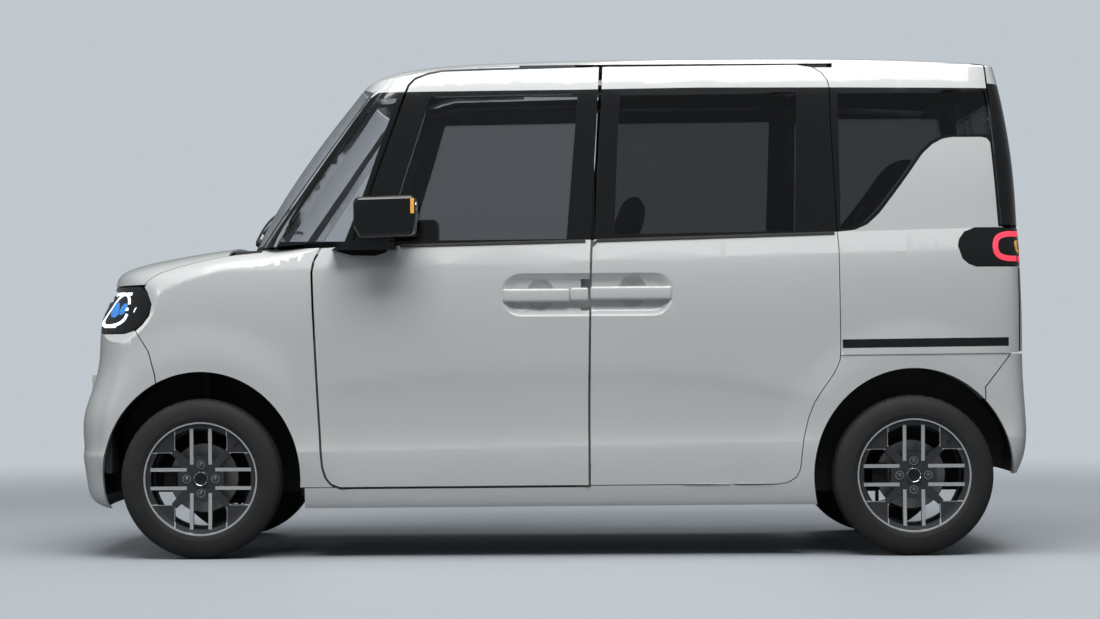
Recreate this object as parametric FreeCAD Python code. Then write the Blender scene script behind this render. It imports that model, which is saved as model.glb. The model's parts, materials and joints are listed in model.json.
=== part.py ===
"""Kei car: a five-door tall wagon with two hinged front doors, two sliding rear doors, a lifting tailgate,
an opening bonnet, steered front wheels and a full cabin.

Frame: +X runs to the rear, +Y to the car's right-hand side, +Z up. The origin is on the ground, under the middle
of the car's length, on its centre plane. Every length is in millimetres.
"""

import FreeCAD
import Part
import math
import os

from FreeCAD import Vector
from functools import lru_cache

# Overall sizes
LENGTH = 3395.0
WIDTH = 1475.0
HEIGHT = 1785.0
WHEELBASE = 2495.0
FRONT_OVERHANG = 474.5
TRACK = 1300.0

HALF_WIDTH = WIDTH / 2
FRONT_X = -LENGTH / 2
REAR_X = LENGTH / 2
FRONT_WHEEL_X = FRONT_X + FRONT_OVERHANG
REAR_WHEEL_X = FRONT_WHEEL_X + WHEELBASE
WHEEL_Y = TRACK / 2

# Wheels and brakes
TYRE_RADIUS = 281.0
TYRE_WIDTH = 165.0
RIM_RADIUS = 203.0
HUB_RADIUS = 68.0
BOLT_CIRCLE = 100.0
BOLT_HOLE_RADIUS = 7.0
WHEEL_BOLTS = 4
SPINDLE_RADIUS = 16.0
DISC_RADIUS = 122.0
AXLE_Z = TYRE_RADIUS

# Walls, gaps and clearances
FLANGE_THICKNESS = 18.0
DOOR_THICKNESS = 50.0
DOOR_STEP = 30.0
FRAME_THICKNESS = 35.0
FENDER_THICKNESS = 7.0
ROOF_THICKNESS = 34.0
SCREEN_THICKNESS = 6.0
GLASS_SET = 5.0
DOOR_GAP = 8.0
PANEL_GAP = 3.0
FIT = 0.3
RUNNING_FIT = 0.08
OVERRUN = 60.0

PARTS = {}


def vec(x, y, z):
    return Vector(x, y, z)


def at_length(share):
    """A place along the car, as a share of its length from its middle."""
    return share * LENGTH


def at_height(share):
    return share * HEIGHT


def box(x0, x1, y0, y1, z0, z1):
    return Part.makeBox(x1 - x0, y1 - y0, z1 - z0, vec(x0, y0, z0))


def mirrored(shape):
    """The same piece on the other side of the car."""
    return shape.mirror(vec(0, 0, 0), vec(0, 1, 0))


def both_sides(shape):
    return Part.makeCompound([shape, mirrored(shape)])


def joined(shapes):
    result = shapes[0]
    for shape in shapes[1:]:
        result = result.fuse(shape)
    return result


def face_of(points):
    return Part.Face(Part.makePolygon(points + points[:1]))


def side_face(shares, grow=0.0):
    """An outline seen from the side, from shares of the length and the height, grown by a margin."""
    face = face_of([vec(at_length(x), 0, at_height(z)) for x, z in shares])
    if grow:
        face = face.makeOffset2D(grow, join=2)
    return face


def side_prism(shares, grow=0.0, inner=0.0, outer=None):
    """A side outline run across the near half of the car, from the inner to the outer distance off the centre."""
    outer = HALF_WIDTH + OVERRUN if outer is None else outer
    face = side_face(shares, grow)
    face.translate(vec(0, -outer, 0))
    return face.extrude(vec(0, outer - inner, 0))


def full_prism(shares, grow=0.0):
    return side_prism(shares, grow, inner=-HALF_WIDTH - OVERRUN)


def rear_prism(points, x0, x1):
    """An outline seen from the end, in lengths across and up, run along the car."""
    return face_of([vec(x0, y, z) for y, z in points]).extrude(vec(x1 - x0, 0, 0))


# The plan outline: how far the nose, the windscreen and the tail fall back towards each corner
# Each entry is the share of the half width, and the share of the named bow
NOSE_BOW = 245.0
SCREEN_BOW = 122.0
TAIL_BOW = 85.0
PLAN_DEGREE = 3
NOSE_BOW_SHARES = [(0.2, 0), (0.58, 0.04), (0.83, 0.19), (0.965, 0.54), (0.99, 1)]
SCREEN_BOW_SHARES = [(0.2, 0), (0.58, 0.12), (0.83, 0.42), (0.975, 0.79), (0.995, 1.3)]
TAIL_BOW_SHARES = [(0.2, 0), (0.58, 0.03), (0.86, 0.14), (0.975, 0.5), (0.995, 1.5)]
FLANK_PLAN_SHARES = [(0.2, 1), (0.5, 1), (0.8, 1)]


def plan_outline(mid_height, tilt, half, front, rear, bow, bow_shares):
    """One closed outline round the body, in a plane that tilts up towards the tail."""

    def place(x, y):
        return vec(x, y, mid_height + tilt * x)

    nose = [(front + bow * b, v * half) for v, b in bow_shares]
    tail = [(rear - TAIL_BOW * b, v * half) for v, b in TAIL_BOW_SHARES]
    span = tail[-1][0] - nose[-1][0]
    flank = [(nose[-1][0] + f * span, s * half) for f, s in FLANK_PLAN_SHARES]
    right = nose + flank + tail[::-1]
    poles = [place(front, 0)]
    poles += [place(x, y) for x, y in right]
    poles += [place(rear, 0)]
    poles += [place(x, -y) for x, y in right[::-1]]
    curve = Part.BSplineCurve()
    curve.buildFromPoles(poles, True, PLAN_DEGREE)
    return Part.Wire([curve.toShape()])


# Body sections from the sill up: height at mid length, tilt, half width, set-back of the nose and of the tail
SILL_SECTION_SHARES = [
    (0.0997, 0.003, 0.945, 0.0218, 0.0260),
    (0.1137, 0.004, 0.958, 0.0100, 0.0220),
    (0.140, 0.008, 0.9705, 0.0046, 0.0130),
    (0.180, 0.012, 0.983, 0.0020, 0.0030),
    (0.2174, 0.016, 0.989, 0.0, 0.0),
]
FLANK_SECTION_SHARES = [
    (0.2174, 0.016, 0.989, 0.0, 0.0),
    (0.2521, 0.017, 0.9785, 0.0, 0.0),
    (0.3025, 0.018, 0.978, 0.0012, 0.0018),
    (0.3585, 0.019, 0.9835, 0.0110, 0.0032),
    (0.4146, 0.020, 0.991, 0.0172, 0.0035),
    (0.4706, 0.021, 0.9975, 0.0190, 0.0040),
    (0.521, 0.022, 1.0, 0.0258, 0.0050),
    (0.5798, 0.024, 0.993, 0.0330, 0.0062),
]
SHOULDER_SECTION_SHARES = [
    (0.5798, 0.024, 0.993, 0.0330, 0.0062),
    (0.6611, 0.025, 0.9315, 0.0430, 0.0078),
]
CABIN_SECTION_SHARES = [
    (0.6207, 0.025, 0.960, 0.1810, 0.0072),
    (0.6947, 0.018, 0.9455, 0.2028, 0.0086),
    (0.7731, 0.011, 0.927, 0.2305, 0.0115),
    (0.8515, 0.005, 0.9005, 0.2614, 0.0165),
    (0.9188, 0.0, 0.868, 0.2897, 0.0222),
    (0.9748, 0.0, 0.822, 0.3115, 0.0285),
    (1.0252, 0.0, 0.765, 0.3306, 0.0360),
]
BELT_SHARE = 0.6207
BELT_TILT = 0.025


def belt_height(x):
    """The window line rises towards the tail."""
    return at_height(BELT_SHARE) + BELT_TILT * x


def body_stack(stacks, bow, bow_shares, side_inset, front_inset, rear_inset):
    """A solid lofted up through stacks of plan outlines, with a crease where one stack meets the next."""
    faces = []
    for sections in stacks:
        wires = [
            plan_outline(
                at_height(height),
                tilt,
                half * HALF_WIDTH - side_inset,
                FRONT_X + at_length(nose) + front_inset,
                REAR_X - at_length(tail) - rear_inset,
                bow,
                bow_shares,
            )
            for height, tilt, half, nose, tail in sections
        ]
        faces += Part.makeLoft(wires, False, len(wires) == 2).Faces
        if sections is stacks[0]:
            faces.append(Part.Face(wires[0]))
        if sections is stacks[-1]:
            faces.append(Part.Face(wires[-1]))
    shell = Part.Shell(faces)
    shell.sewShape()
    return Part.Solid(shell)


NOSE_SHARE = -0.4740
COWL_FRONT_SHARE = -0.3285
BEYOND_SHARE = 0.54

# The roof and bonnet skins: height on the centre plane along the car, and how it falls away to each side
ROOF_LINE_SHARES = [
    (-0.6000, 0.7000),
    (-0.3500, 0.8100),
    (-0.2600, 0.8600),
    (-0.2150, 0.9050),
    (-0.1968, 0.9417),
    (-0.1820, 0.9602),
    (-0.1608, 0.9748),
    (-0.1287, 0.9849),
    (-0.0969, 0.9899),
    (-0.0330, 0.9950),
    (0.0521, 0.9985),
    (0.1585, 1.0),
    (0.2648, 0.9996),
    (0.3180, 0.9980),
    (0.3714, 0.9955),
    (0.4245, 0.9910),
    (0.4566, 0.9866),
    (0.4672, 0.9832),
    (0.4757, 0.9692),
    (0.4850, 0.9400),
    (0.6000, 0.7000),
]
ROOF_DROP = 100.0
ROOF_DROP_SHARES = [
    (0, 0),
    (0.27, 0.005),
    (0.54, 0.08),
    (0.68, 0.195),
    (0.76, 0.29),
    (0.815, 0.41),
    (0.87, 0.58),
    (0.95, 0.9),
    (1.06, 1.3),
]
BONNET_LINE_SHARES = [
    (-0.6000, 0.3000),
    (-0.5300, 0.4000),
    (-0.4850, 0.4900),
    (-0.4735, 0.5400),
    (-0.4705, 0.5620),
    (-0.4610, 0.5750),
    (-0.4400, 0.5875),
    (-0.4172, 0.5960),
    (-0.3958, 0.6030),
    (-0.3744, 0.6092),
    (-0.3530, 0.6148),
    (-0.3317, 0.6192),
    (-0.3100, 0.6230),
    (-0.2850, 0.6270),
    (-0.2200, 0.6500),
    (0.0000, 0.7600),
    (0.6000, 0.9000),
]
BONNET_DROP = 108.0
BONNET_DROP_SHARES = [
    (0, 0),
    (0.3, 0.012),
    (0.5, 0.05),
    (0.7, 0.14),
    (0.8, 0.225),
    (0.88, 0.335),
    (0.94, 0.50),
    (0.975, 0.70),
    (1, 1),
    (1.06, 1.8),
]


def clamped_knots(poles):
    return list(range(len(poles) - PLAN_DEGREE + 1))


def clamped_multiplicities(poles):
    return [PLAN_DEGREE + 1] + [1] * (len(poles) - PLAN_DEGREE - 1) + [PLAN_DEGREE + 1]


def under_skin(line, drops, drop, bow, lowered):
    """Everything below a crowned skin, which is lowered by a wall where it makes an inner side.

    The bow carries the skin back at the sides, and fades out from the nose to the windscreen's foot.
    """
    rows = []
    for lx, lz in line:
        fade = (COWL_FRONT_SHARE - lx) / (COWL_FRONT_SHARE - NOSE_SHARE)
        row = []
        for v, d in [(-v, d) for v, d in drops[:0:-1]] + drops:
            shift = bow * max(0, min(1, fade)) * abs(v) ** 3
            row.append(vec(at_length(lx) + shift, v * HALF_WIDTH, at_height(lz) - drop * d - lowered))
        rows.append(row)
    surface = Part.BSplineSurface()
    surface.buildFromPolesMultsKnots(
        rows,
        clamped_multiplicities(rows),
        clamped_multiplicities(rows[0]),
        clamped_knots(rows),
        clamped_knots(rows[0]),
        False,
        False,
        PLAN_DEGREE,
        PLAN_DEGREE,
    )
    return surface.toShape().extrude(vec(0, 0, -HEIGHT))


def across(outline):
    """An outline in lengths along and up, run across the whole width."""
    face = face_of([vec(x, -HALF_WIDTH - OVERRUN, z) for x, z in outline])
    return face.extrude(vec(0, WIDTH + 2 * OVERRUN, 0))


@lru_cache(maxsize=None)
def lower_limit(lowered):
    """Everything below the window line, and under the bonnet's skin ahead of the windscreen's foot."""
    foot = at_length(COWL_FRONT_SHARE)
    end = at_length(BEYOND_SHARE)
    outline = [
        (-end, -OVERRUN),
        (-end, HEIGHT),
        (foot, HEIGHT),
        (foot, belt_height(foot)),
        (end, belt_height(end)),
        (end, -OVERRUN),
    ]
    skin = under_skin(BONNET_LINE_SHARES, BONNET_DROP_SHARES, BONNET_DROP, NOSE_BOW, lowered)
    return skin.common(across(outline))


@lru_cache(maxsize=None)
def cabin_limit(lowered):
    """Everything above the window line and under the roof's skin."""
    end = at_length(BEYOND_SHARE)
    top = HEIGHT + OVERRUN
    skin = under_skin(ROOF_LINE_SHARES, ROOF_DROP_SHARES, ROOF_DROP, 0.0, lowered)
    return skin.common(across([(-end, belt_height(-end)), (-end, top), (end, top), (end, belt_height(end))]))


@lru_cache(maxsize=None)
def lower_body(side=0.0, front=0.0, rear=0.0, top=0.0):
    """The body below the window line, drawn in by the given walls."""
    stacks = (SILL_SECTION_SHARES, FLANK_SECTION_SHARES, SHOULDER_SECTION_SHARES)
    stack = body_stack(stacks, NOSE_BOW, NOSE_BOW_SHARES, side, front, rear)
    return stack.common(lower_limit(top))


@lru_cache(maxsize=None)
def cabin_body(side=0.0, front=0.0, rear=0.0, top=0.0):
    """The body above the window line, drawn in by the given walls."""
    stack = body_stack((CABIN_SECTION_SHARES,), SCREEN_BOW, SCREEN_BOW_SHARES, side, front, rear)
    return stack.common(cabin_limit(top))


def walled(body, depth):
    """The body drawn in by one depth all round."""
    return body(depth, depth, depth, depth)


def wall_part(region, outer_depth, inner_depth, bodies=(lower_body, cabin_body)):
    """The wall between two depths under the skin, within a region."""
    pieces = []
    for body in bodies:
        piece = walled(body, outer_depth).common(region)
        if piece.Solids:
            pieces.append(piece.cut(walled(body, inner_depth)))
    return joined(pieces)


# Outlines seen from the side: shares of the length from its middle, and of the height
FRONT_DOOR_SHARES = [
    (-0.2348, 0.6085),
    (-0.2030, 0.6123),
    (-0.1832, 0.7216),
    (-0.1476, 0.9160),
    (-0.1443, 0.9317),
    (-0.1381, 0.9440),
    (-0.1258, 0.9535),
    (-0.1102, 0.9597),
    (-0.0321, 0.9636),
    (0.0530, 0.9675),
    (0.0518, 0.9221),
    (0.0496, 0.8392),
    (0.0462, 0.7412),
    (0.0445, 0.6622),
    (0.0430, 0.6230),
    (0.0418, 0.5642),
    (0.0403, 0.4067),
    (0.0395, 0.3087),
    (0.0395, 0.1417),
    (-0.2171, 0.1401),
    (-0.2253, 0.1468),
    (-0.2303, 0.1585),
    (-0.2336, 0.1782),
    (-0.2351, 0.2078),
    (-0.2362, 0.2471),
    (-0.2380, 0.3059),
    (-0.2404, 0.4039),
    (-0.2427, 0.5020),
    (-0.2436, 0.5608),
    (-0.2418, 0.5804),
]
SLIDE_DOOR_SHARES = [
    (0.0300, 0.9675),
    (0.2595, 0.9697),
    (0.2751, 0.9641),
    (0.2837, 0.9541),
    (0.2898, 0.9384),
    (0.2919, 0.9244),
    (0.2922, 0.8420),
    (0.2946, 0.7440),
    (0.2969, 0.6454),
    (0.2981, 0.6062),
    (0.2993, 0.4095),
    (0.2987, 0.3860),
    (0.2957, 0.3703),
    (0.2904, 0.3524),
    (0.2804, 0.3266),
    (0.2722, 0.3014),
    (0.2660, 0.2717),
    (0.2610, 0.2325),
    (0.2589, 0.2028),
    (0.2580, 0.1832),
    (0.2568, 0.1692),
    (0.2527, 0.1552),
    (0.2448, 0.1457),
    (0.2342, 0.1423),
    (0.0300, 0.1417),
]
FRONT_WINDOW_SHARES = [
    (-0.1228, 0.9092),
    (-0.1340, 0.8387),
    (-0.1440, 0.7793),
    (-0.1532, 0.7227),
    (-0.1664, 0.6225),
    (0.0180, 0.6240),
    (0.0306, 0.9132),
]
SLIDE_WINDOW_SHARES = [
    (0.0751, 0.9115),
    (0.0730, 0.8605),
    (0.0675, 0.6330),
    (0.2539, 0.6375),
    (0.2574, 0.9137),
]
CORNER_WINDOW_SHARES = [
    (-0.2800, 0.6220), (-0.2110, 0.6220), (-0.1905, 0.7227), (-0.1575, 0.9064), (-0.1795, 0.9064)
]
QUARTER_WINDOW_SHARES = [
    (0.3005, 0.9165),
    (0.4545, 0.9160),
    (0.4575, 0.8750),
    (0.4590, 0.8280),
    (0.4100, 0.8265),
    (0.3960, 0.8145),
    (0.3845, 0.7930),
    (0.3695, 0.7520),
    (0.3540, 0.7130),
    (0.3390, 0.6770),
    (0.3270, 0.6560),
    (0.3150, 0.6440),
    (0.3010, 0.6410),
]
ROOF_SHARES = [
    (-0.2250, 0.9620),
    (-0.2015, 0.9385),
    (-0.1826, 0.9190),
    (-0.1650, 0.9412),
    (-0.1473, 0.9552),
    (-0.1296, 0.9647),
    (-0.1090, 0.9697),
    (-0.0300, 0.9725),
    (0.4435, 0.9725),
    (0.4435, 1.0500),
    (-0.2250, 1.0500),
]
WINDSCREEN_SHARES = [
    (-0.3500, 0.6135),
    (-0.2975, 0.6135),
    (-0.1845, 0.9155),
    (-0.2024, 0.9350),
    (-0.2260, 0.9600),
    (-0.3500, 0.9600),
]
SIDE_SHARES = [
    (-0.2530, 0.0850),
    (-0.2530, 0.1385),
    (-0.2440, 0.1500),
    (-0.2440, 0.6500),
    (0.4700, 0.6500),
    (0.4700, 0.6440),
    (0.4860, 0.5669),
    (0.4860, 0.3975),
    (0.4754, 0.3963),
    (0.4478, 0.3300),
    (0.4478, 0.0850),
]
CABIN_SIDE_SHARES = [
    (-0.2980, 0.5900),
    (-0.2955, 0.6085),
    (-0.1826, 0.9160),
    (-0.1650, 0.9500),
    (-0.1473, 0.9700),
    (-0.0900, 0.9800),
    (0.4440, 0.9800),
    (0.4555, 0.9735),
    (0.4571, 0.9193),
    (0.4619, 0.8045),
    (0.4683, 0.6480),
    (0.4683, 0.5900),
]
FENDER_SHARES = [
    (-0.4230, 0.5420),
    (-0.4255, 0.5650),
    (-0.4100, 0.5745),
    (-0.3940, 0.5815),
    (-0.3629, 0.5930),
    (-0.3390, 0.6010),
    (-0.3285, 0.6035),
    (-0.3000, 0.6080),
    (-0.2200, 0.6200),
    (-0.2200, 0.1400),
    (-0.3000, 0.1400),
    (-0.4050, 0.3400),
    (-0.4065, 0.3630),
    (-0.4130, 0.4080),
    (-0.4270, 0.4490),
    (-0.4200, 0.4600),
    (-0.4127, 0.4780),
    (-0.4105, 0.5010),
    (-0.4160, 0.5250),
]
HEADLAMP_SHARES = [
    (-0.5100, 0.5365),
    (-0.4250, 0.5361),
    (-0.4168, 0.5244),
    (-0.4115, 0.5008),
    (-0.4140, 0.4800),
    (-0.4210, 0.4620),
    (-0.4290, 0.4510),
    (-0.4404, 0.4443),
    (-0.5100, 0.4431),
]
FRONT_BUMPER_SHARES = [
    (-0.5200, 0.4415),
    (-0.4400, 0.4425),
    (-0.4282, 0.4490),
    (-0.4142, 0.4080),
    (-0.4078, 0.3630),
    (-0.4062, 0.3400),
    (-0.4062, 0.0850),
    (-0.5200, 0.0850),
]
REAR_BUMPER_SHARES = [
    (0.5200, 0.3945),
    (0.4760, 0.3945),
    (0.4490, 0.3290),
    (0.4490, 0.1590),
    (0.5200, 0.1590),
]
TAIL_LAMP_SHARES = [
    (0.5100, 0.6415),
    (0.4395, 0.6410),
    (0.4290, 0.6330),
    (0.4235, 0.6190),
    (0.4221, 0.6056),
    (0.4262, 0.5821),
    (0.4320, 0.5720),
    (0.4398, 0.5664),
    (0.5100, 0.5669),
]
TAILGATE_UPPER_SHARES = [
    (0.4480, 1.0500),
    (0.4480, 0.9770),
    (0.4562, 0.9735),
    (0.4578, 0.9193),
    (0.4626, 0.8045),
    (0.4690, 0.6480),
    (0.5200, 0.6480),
    (0.5200, 1.0500),
]
TAILGATE_LOWER_SHARES = [(0.4868, 0.5640), (0.4868, 0.3990), (0.5200, 0.3990), (0.5200, 0.5640)]

# Wheel arches: half length and height above the wheel's centre
ARCH_HALF_LENGTH = 350.0
ARCH_RISE = 375.0
LINER_THICKNESS = 5.0
LINER_TUCK = 6.0
FRONT_TUNNEL_Y = 392.0
REAR_TUNNEL_Y = 526.0
LINER_BELOW_AXLE = 60.0
TUNNEL_ROOM = LINER_TUCK + LINER_THICKNESS + FIT


def arch_prism(wheel_x, grow, inner, outer):
    """The wheel arch opening run across one side of the car."""
    ellipse = Part.Ellipse(vec(wheel_x, -outer, AXLE_Z), ARCH_RISE + grow, ARCH_HALF_LENGTH + grow).toShape()
    ellipse.rotate(vec(wheel_x, -outer, AXLE_Z), vec(1, 0, 0), 90)
    ellipse.rotate(vec(wheel_x, -outer, AXLE_Z), vec(0, 1, 0), 90)
    return Part.Face(Part.Wire([ellipse])).extrude(vec(0, outer - inner, 0))


def arch_cut(wheel_x, grow=0.0, inner=0.0):
    return arch_prism(wheel_x, grow, inner, HALF_WIDTH + OVERRUN)


# Depths of the layers under the skin
FRAME_DEPTH = 66.0
RING_DEPTH = FRAME_DEPTH + FRAME_THICKNESS
OPENING_STEP = 38.0
SLIDE_OPENING_STEP = 60.0
DOOR_REACH = 420.0
UPPER_DOOR_GAP = 13.0
OVER_DOOR_SHARE = 0.9640
ROLLER_X = 560.0
ROLLER_LENGTH = 80.0
ROLLER_Y = 715.0
ROLLER_WIDTH = 20.0
ROLLER_HEIGHT = 12.0
SLIDE_DOOR_REAR_SHARE = 0.2960

# Front door hinge
DOOR_HINGE_X = -785.0
DOOR_HINGE_Y = 716.0
DOOR_HINGE_HEIGHTS = [715.0, 990.0]
PIN_RADIUS = 4.0
KNUCKLE_RADIUS = 8.0
KNUCKLE_HALF = 9.0
HINGE_ARM = 15.0
HINGE_PIN_HALF = 27.0
HINGE_POCKET = 11.0
HINGE_POCKET_HALF = 34.0
HINGE_SKIN = 9.0
HINGE_WEB = 5.0
HINGE_REACH = 45.0


def front_door_room():
    return side_prism(FRONT_DOOR_SHARES, DOOR_GAP, DOOR_REACH)


def slide_door_room():
    return side_prism(SLIDE_DOOR_SHARES, PANEL_GAP, DOOR_REACH)


def stepped_door(region, core, depth):
    """A door with an outer skin, and an inner box set back from the skin's edge."""
    return wall_part(region, 0.0, FLANGE_THICKNESS).fuse(wall_part(core, FLANGE_THICKNESS / 2, depth))


def door_hinge_pocket(height):
    """Room in the door's leading edge for the hinge, which leaves its outer skin whole."""
    return box(
        DOOR_HINGE_X - HINGE_REACH * 2,
        DOOR_HINGE_X + HINGE_POCKET,
        -DOOR_HINGE_Y - HINGE_SKIN,
        -DOOR_HINGE_Y + DOOR_THICKNESS,
        height - HINGE_POCKET_HALF,
        height + HINGE_POCKET_HALF,
    )


def upright(radius, height, half):
    base = vec(DOOR_HINGE_X, -DOOR_HINGE_Y, height - half)
    return Part.makeCylinder(radius, 2 * half, base)


def door_knuckle(height):
    """The door's half of a hinge: a barrel on a web, bored for the pin."""
    web = box(
        DOOR_HINGE_X,
        DOOR_HINGE_X + HINGE_REACH,
        -DOOR_HINGE_Y - HINGE_WEB,
        -DOOR_HINGE_Y + HINGE_WEB,
        height - KNUCKLE_HALF,
        height + KNUCKLE_HALF,
    )
    barrel = upright(KNUCKLE_RADIUS, height, KNUCKLE_HALF)
    return barrel.fuse(web).cut(upright(PIN_RADIUS + RUNNING_FIT, height, HINGE_PIN_HALF))


def door_hinge_arms(height):
    """The body's half of a hinge: two arms out from the post, which hold the pin."""
    arms = []
    for sign in (-1, 1):
        near = height + sign * (KNUCKLE_HALF + FIT)
        far = height + sign * HINGE_PIN_HALF
        arms.append(
            box(
                DOOR_HINGE_X - HINGE_WEB,
                DOOR_HINGE_X + KNUCKLE_RADIUS,
                -DOOR_HINGE_Y - HINGE_WEB,
                -DOOR_HINGE_Y + FRAME_DEPTH,
                min(near, far),
                max(near, far),
            )
        )
    return joined(arms + [upright(PIN_RADIUS, height, HINGE_PIN_HALF)])


def make_front_door():
    region = side_prism(FRONT_DOOR_SHARES, 0.0, DOOR_REACH)
    core = side_prism(FRONT_DOOR_SHARES, -DOOR_STEP, DOOR_REACH)
    door = stepped_door(region, core, DOOR_THICKNESS)
    door = door.cut(side_prism(FRONT_WINDOW_SHARES, 0.0, DOOR_REACH))
    for height in DOOR_HINGE_HEIGHTS:
        door = door.cut(door_hinge_pocket(height)).fuse(door_knuckle(height))
    PARTS["front_door_left"] = door
    PARTS["front_door_right"] = mirrored(door)
    glass = window_glass(FRONT_WINDOW_SHARES)
    PARTS["front_door_glass_left"] = glass
    PARTS["front_door_glass_right"] = mirrored(glass)


def window_glass(shares):
    region = side_prism(shares, -FIT, DOOR_REACH)
    return wall_part(region, GLASS_SET, GLASS_SET + SCREEN_THICKNESS, (cabin_body,))


def make_slide_door():
    above_belt = box(0, REAR_X, -WIDTH, 0, at_height(FRONT_DOOR_SHARES[0][1]), HEIGHT)
    upper = side_prism(FRONT_DOOR_SHARES, UPPER_DOOR_GAP, DOOR_REACH).common(above_belt)
    region = side_prism(SLIDE_DOOR_SHARES, 0.0, DOOR_REACH).cut([front_door_room(), upper])
    region = region.cut(side_prism(SLIDE_WINDOW_SHARES, 0.0, DOOR_REACH))
    door = wall_part(region, 0.0, DOOR_THICKNESS)
    bottom = min(door.Vertexes, key=lambda vertex: vertex.Z).Z
    roller = box(
        ROLLER_X, ROLLER_X + ROLLER_LENGTH, -ROLLER_Y, ROLLER_WIDTH - ROLLER_Y, bottom - PANEL_GAP + 3 * FIT, bottom + ROLLER_HEIGHT
    )
    door = door.fuse(roller)
    PARTS["sliding_door_left"] = door
    PARTS["sliding_door_right"] = mirrored(door)
    PARTS["sliding_door_glass"] = both_sides(window_glass(SLIDE_WINDOW_SHARES))


def make_body_side():
    """The pressed side of the body: screen pillar, sill and rear quarter, with the door frame behind them."""
    windows = [
        side_prism(shares, 0.0, DOOR_REACH)
        for shares in (QUARTER_WINDOW_SHARES, CORNER_WINDOW_SHARES)
    ]
    openings = windows + [
        side_prism(FRONT_DOOR_SHARES, -OPENING_STEP, DOOR_REACH),
        side_prism(SLIDE_DOOR_SHARES, -SLIDE_OPENING_STEP, DOOR_REACH),
        side_prism(TAIL_LAMP_SHARES, PANEL_GAP, DOOR_REACH),
        full_prism(ROOF_SHARES, FIT),
        arch_cut(FRONT_WHEEL_X, LINER_TUCK + LINER_THICKNESS + FIT),
        arch_cut(REAR_WHEEL_X),
        box(HEADER_X, REAR_X + OVERRUN, -TAILGATE_MID_HALF, 0, APERTURE_LOW, HEIGHT),
    ]
    over_doors = box(
        at_length(ROOF_SHARES[7][0]), at_length(SLIDE_DOOR_REAR_SHARE), -WIDTH, 0, at_height(OVER_DOOR_SHARE), HEIGHT
    )
    outer_rooms = [
        front_door_room(),
        slide_door_room(),
        side_prism(FENDER_SHARES, PANEL_GAP, DOOR_REACH),
        over_doors,
        tailgate_region(-TAILGATE_GAP),
    ]
    side = []
    for body, shares in ((lower_body, SIDE_SHARES), (cabin_body, CABIN_SIDE_SHARES)):
        wall = walled(body, 0.0).common(side_prism(shares, 0.0, DOOR_REACH)).cut(walled(body, RING_DEPTH))
        recesses = [room.cut(walled(body, FRAME_DEPTH)) for room in outer_rooms]
        side.append(wall.cut(openings + recesses))
    arms = [door_hinge_arms(height) for height in DOOR_HINGE_HEIGHTS]
    side = joined(side + arms)
    PARTS["body_side_left"] = side
    PARTS["body_side_right"] = mirrored(side)


def make_roof():
    region = full_prism(ROOF_SHARES)
    PARTS["roof"] = wall_part(region, 0.0, ROOF_THICKNESS, (cabin_body,))


def make_fixed_glass():
    PARTS["windscreen"] = wall_part(full_prism(WINDSCREEN_SHARES), 0.0, SCREEN_THICKNESS, (cabin_body,))
    PARTS["corner_windows"] = both_sides(window_glass(CORNER_WINDOW_SHARES))
    PARTS["quarter_windows"] = both_sides(window_glass(QUARTER_WINDOW_SHARES))


# Bonnet: its side seams, its thin skin, and the deeper panel inside it
BONNET_HALF = 652.0
BONNET_SKIN = 8.0
BONNET_DEPTH = 22.0
BONNET_STEP = 70.0
BONNET_REAR_SHARE = -0.3325
BONNET_HINGE_X = -1190.0
BONNET_HINGE_Z = 1062.0
BONNET_HINGE_Y = 500.0
COWL_GAP = 20.0
COWL_REAR_SHARE = -0.2980
BARREL_RADIUS = 7.0
BONNET_EDGE_SHARE = 0.5400
LAMP_INNER_Y = 452.0
LAMP_DEPTH = FRAME_DEPTH
BUMPER_THICKNESS = 16.0
PLATE_HOLE_SPACING = 210.0
PLATE_HOLE_RADIUS = 3.0
FRONT_PLATE_Z = 560.0
REAR_PLATE_Z = 900.0
GRILLE_SET = 4.0
GRILLE_THICKNESS = 14.0
GRILLE_SLOTS = 3
GRILLE_BORDER = 14.0
INTAKE_HALF = 420.0
INTAKE_LOW = 285.0
INTAKE_HIGH = 455.0
INTAKE_SLANT = 60.0
FRONT_INTAKE = [
    (-INTAKE_HALF, INTAKE_LOW),
    (INTAKE_HALF, INTAKE_LOW),
    (INTAKE_HALF - INTAKE_SLANT, INTAKE_HIGH),
    (-INTAKE_HALF + INTAKE_SLANT, INTAKE_HIGH),
]


def across_pin(radius, x, y, z, half):
    return Part.makeCylinder(radius, 2 * half, vec(x, y - half, z), vec(0, 1, 0))


def lid_knuckle(x, y, z, reach_x, reach_z, half):
    """A lid's half of a hinge: a barrel with a web out to the lid, bored for the pin."""
    web = box(min(x, reach_x), max(x, reach_x), y - half, y + half, min(z, reach_z), max(z, reach_z))
    return across_pin(BARREL_RADIUS, x, y, z, half).fuse(web).cut(
        across_pin(PIN_RADIUS + RUNNING_FIT, x, y, z, 2 * half)
    )


def bonnet_region(inset=0.0):
    """The bonnet's plan: between the fenders, round the lamps, from the nose to the windscreen's foot."""
    rear = at_length(BONNET_REAR_SHARE)
    lamp = at_length(HEADLAMP_SHARES[1][0]) + OVERRUN / 10
    half = BONNET_HALF - inset
    nose = HALF_WIDTH
    outline = [
        (FRONT_X, -nose),
        (lamp, -nose),
        (lamp, -half),
        (rear, -half),
        (rear, half),
        (lamp, half),
        (lamp, nose),
        (FRONT_X, nose),
    ]
    if inset:
        back = BONNET_HINGE_X - HINGE_REACH
        front = FRONT_X + 3 * inset
        outline = [(front, -half), (back, -half), (back, half), (front, half)]
    face = face_of([vec(x, y, 0) for x, y in outline])
    return face.extrude(vec(0, 0, HEIGHT))


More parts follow.
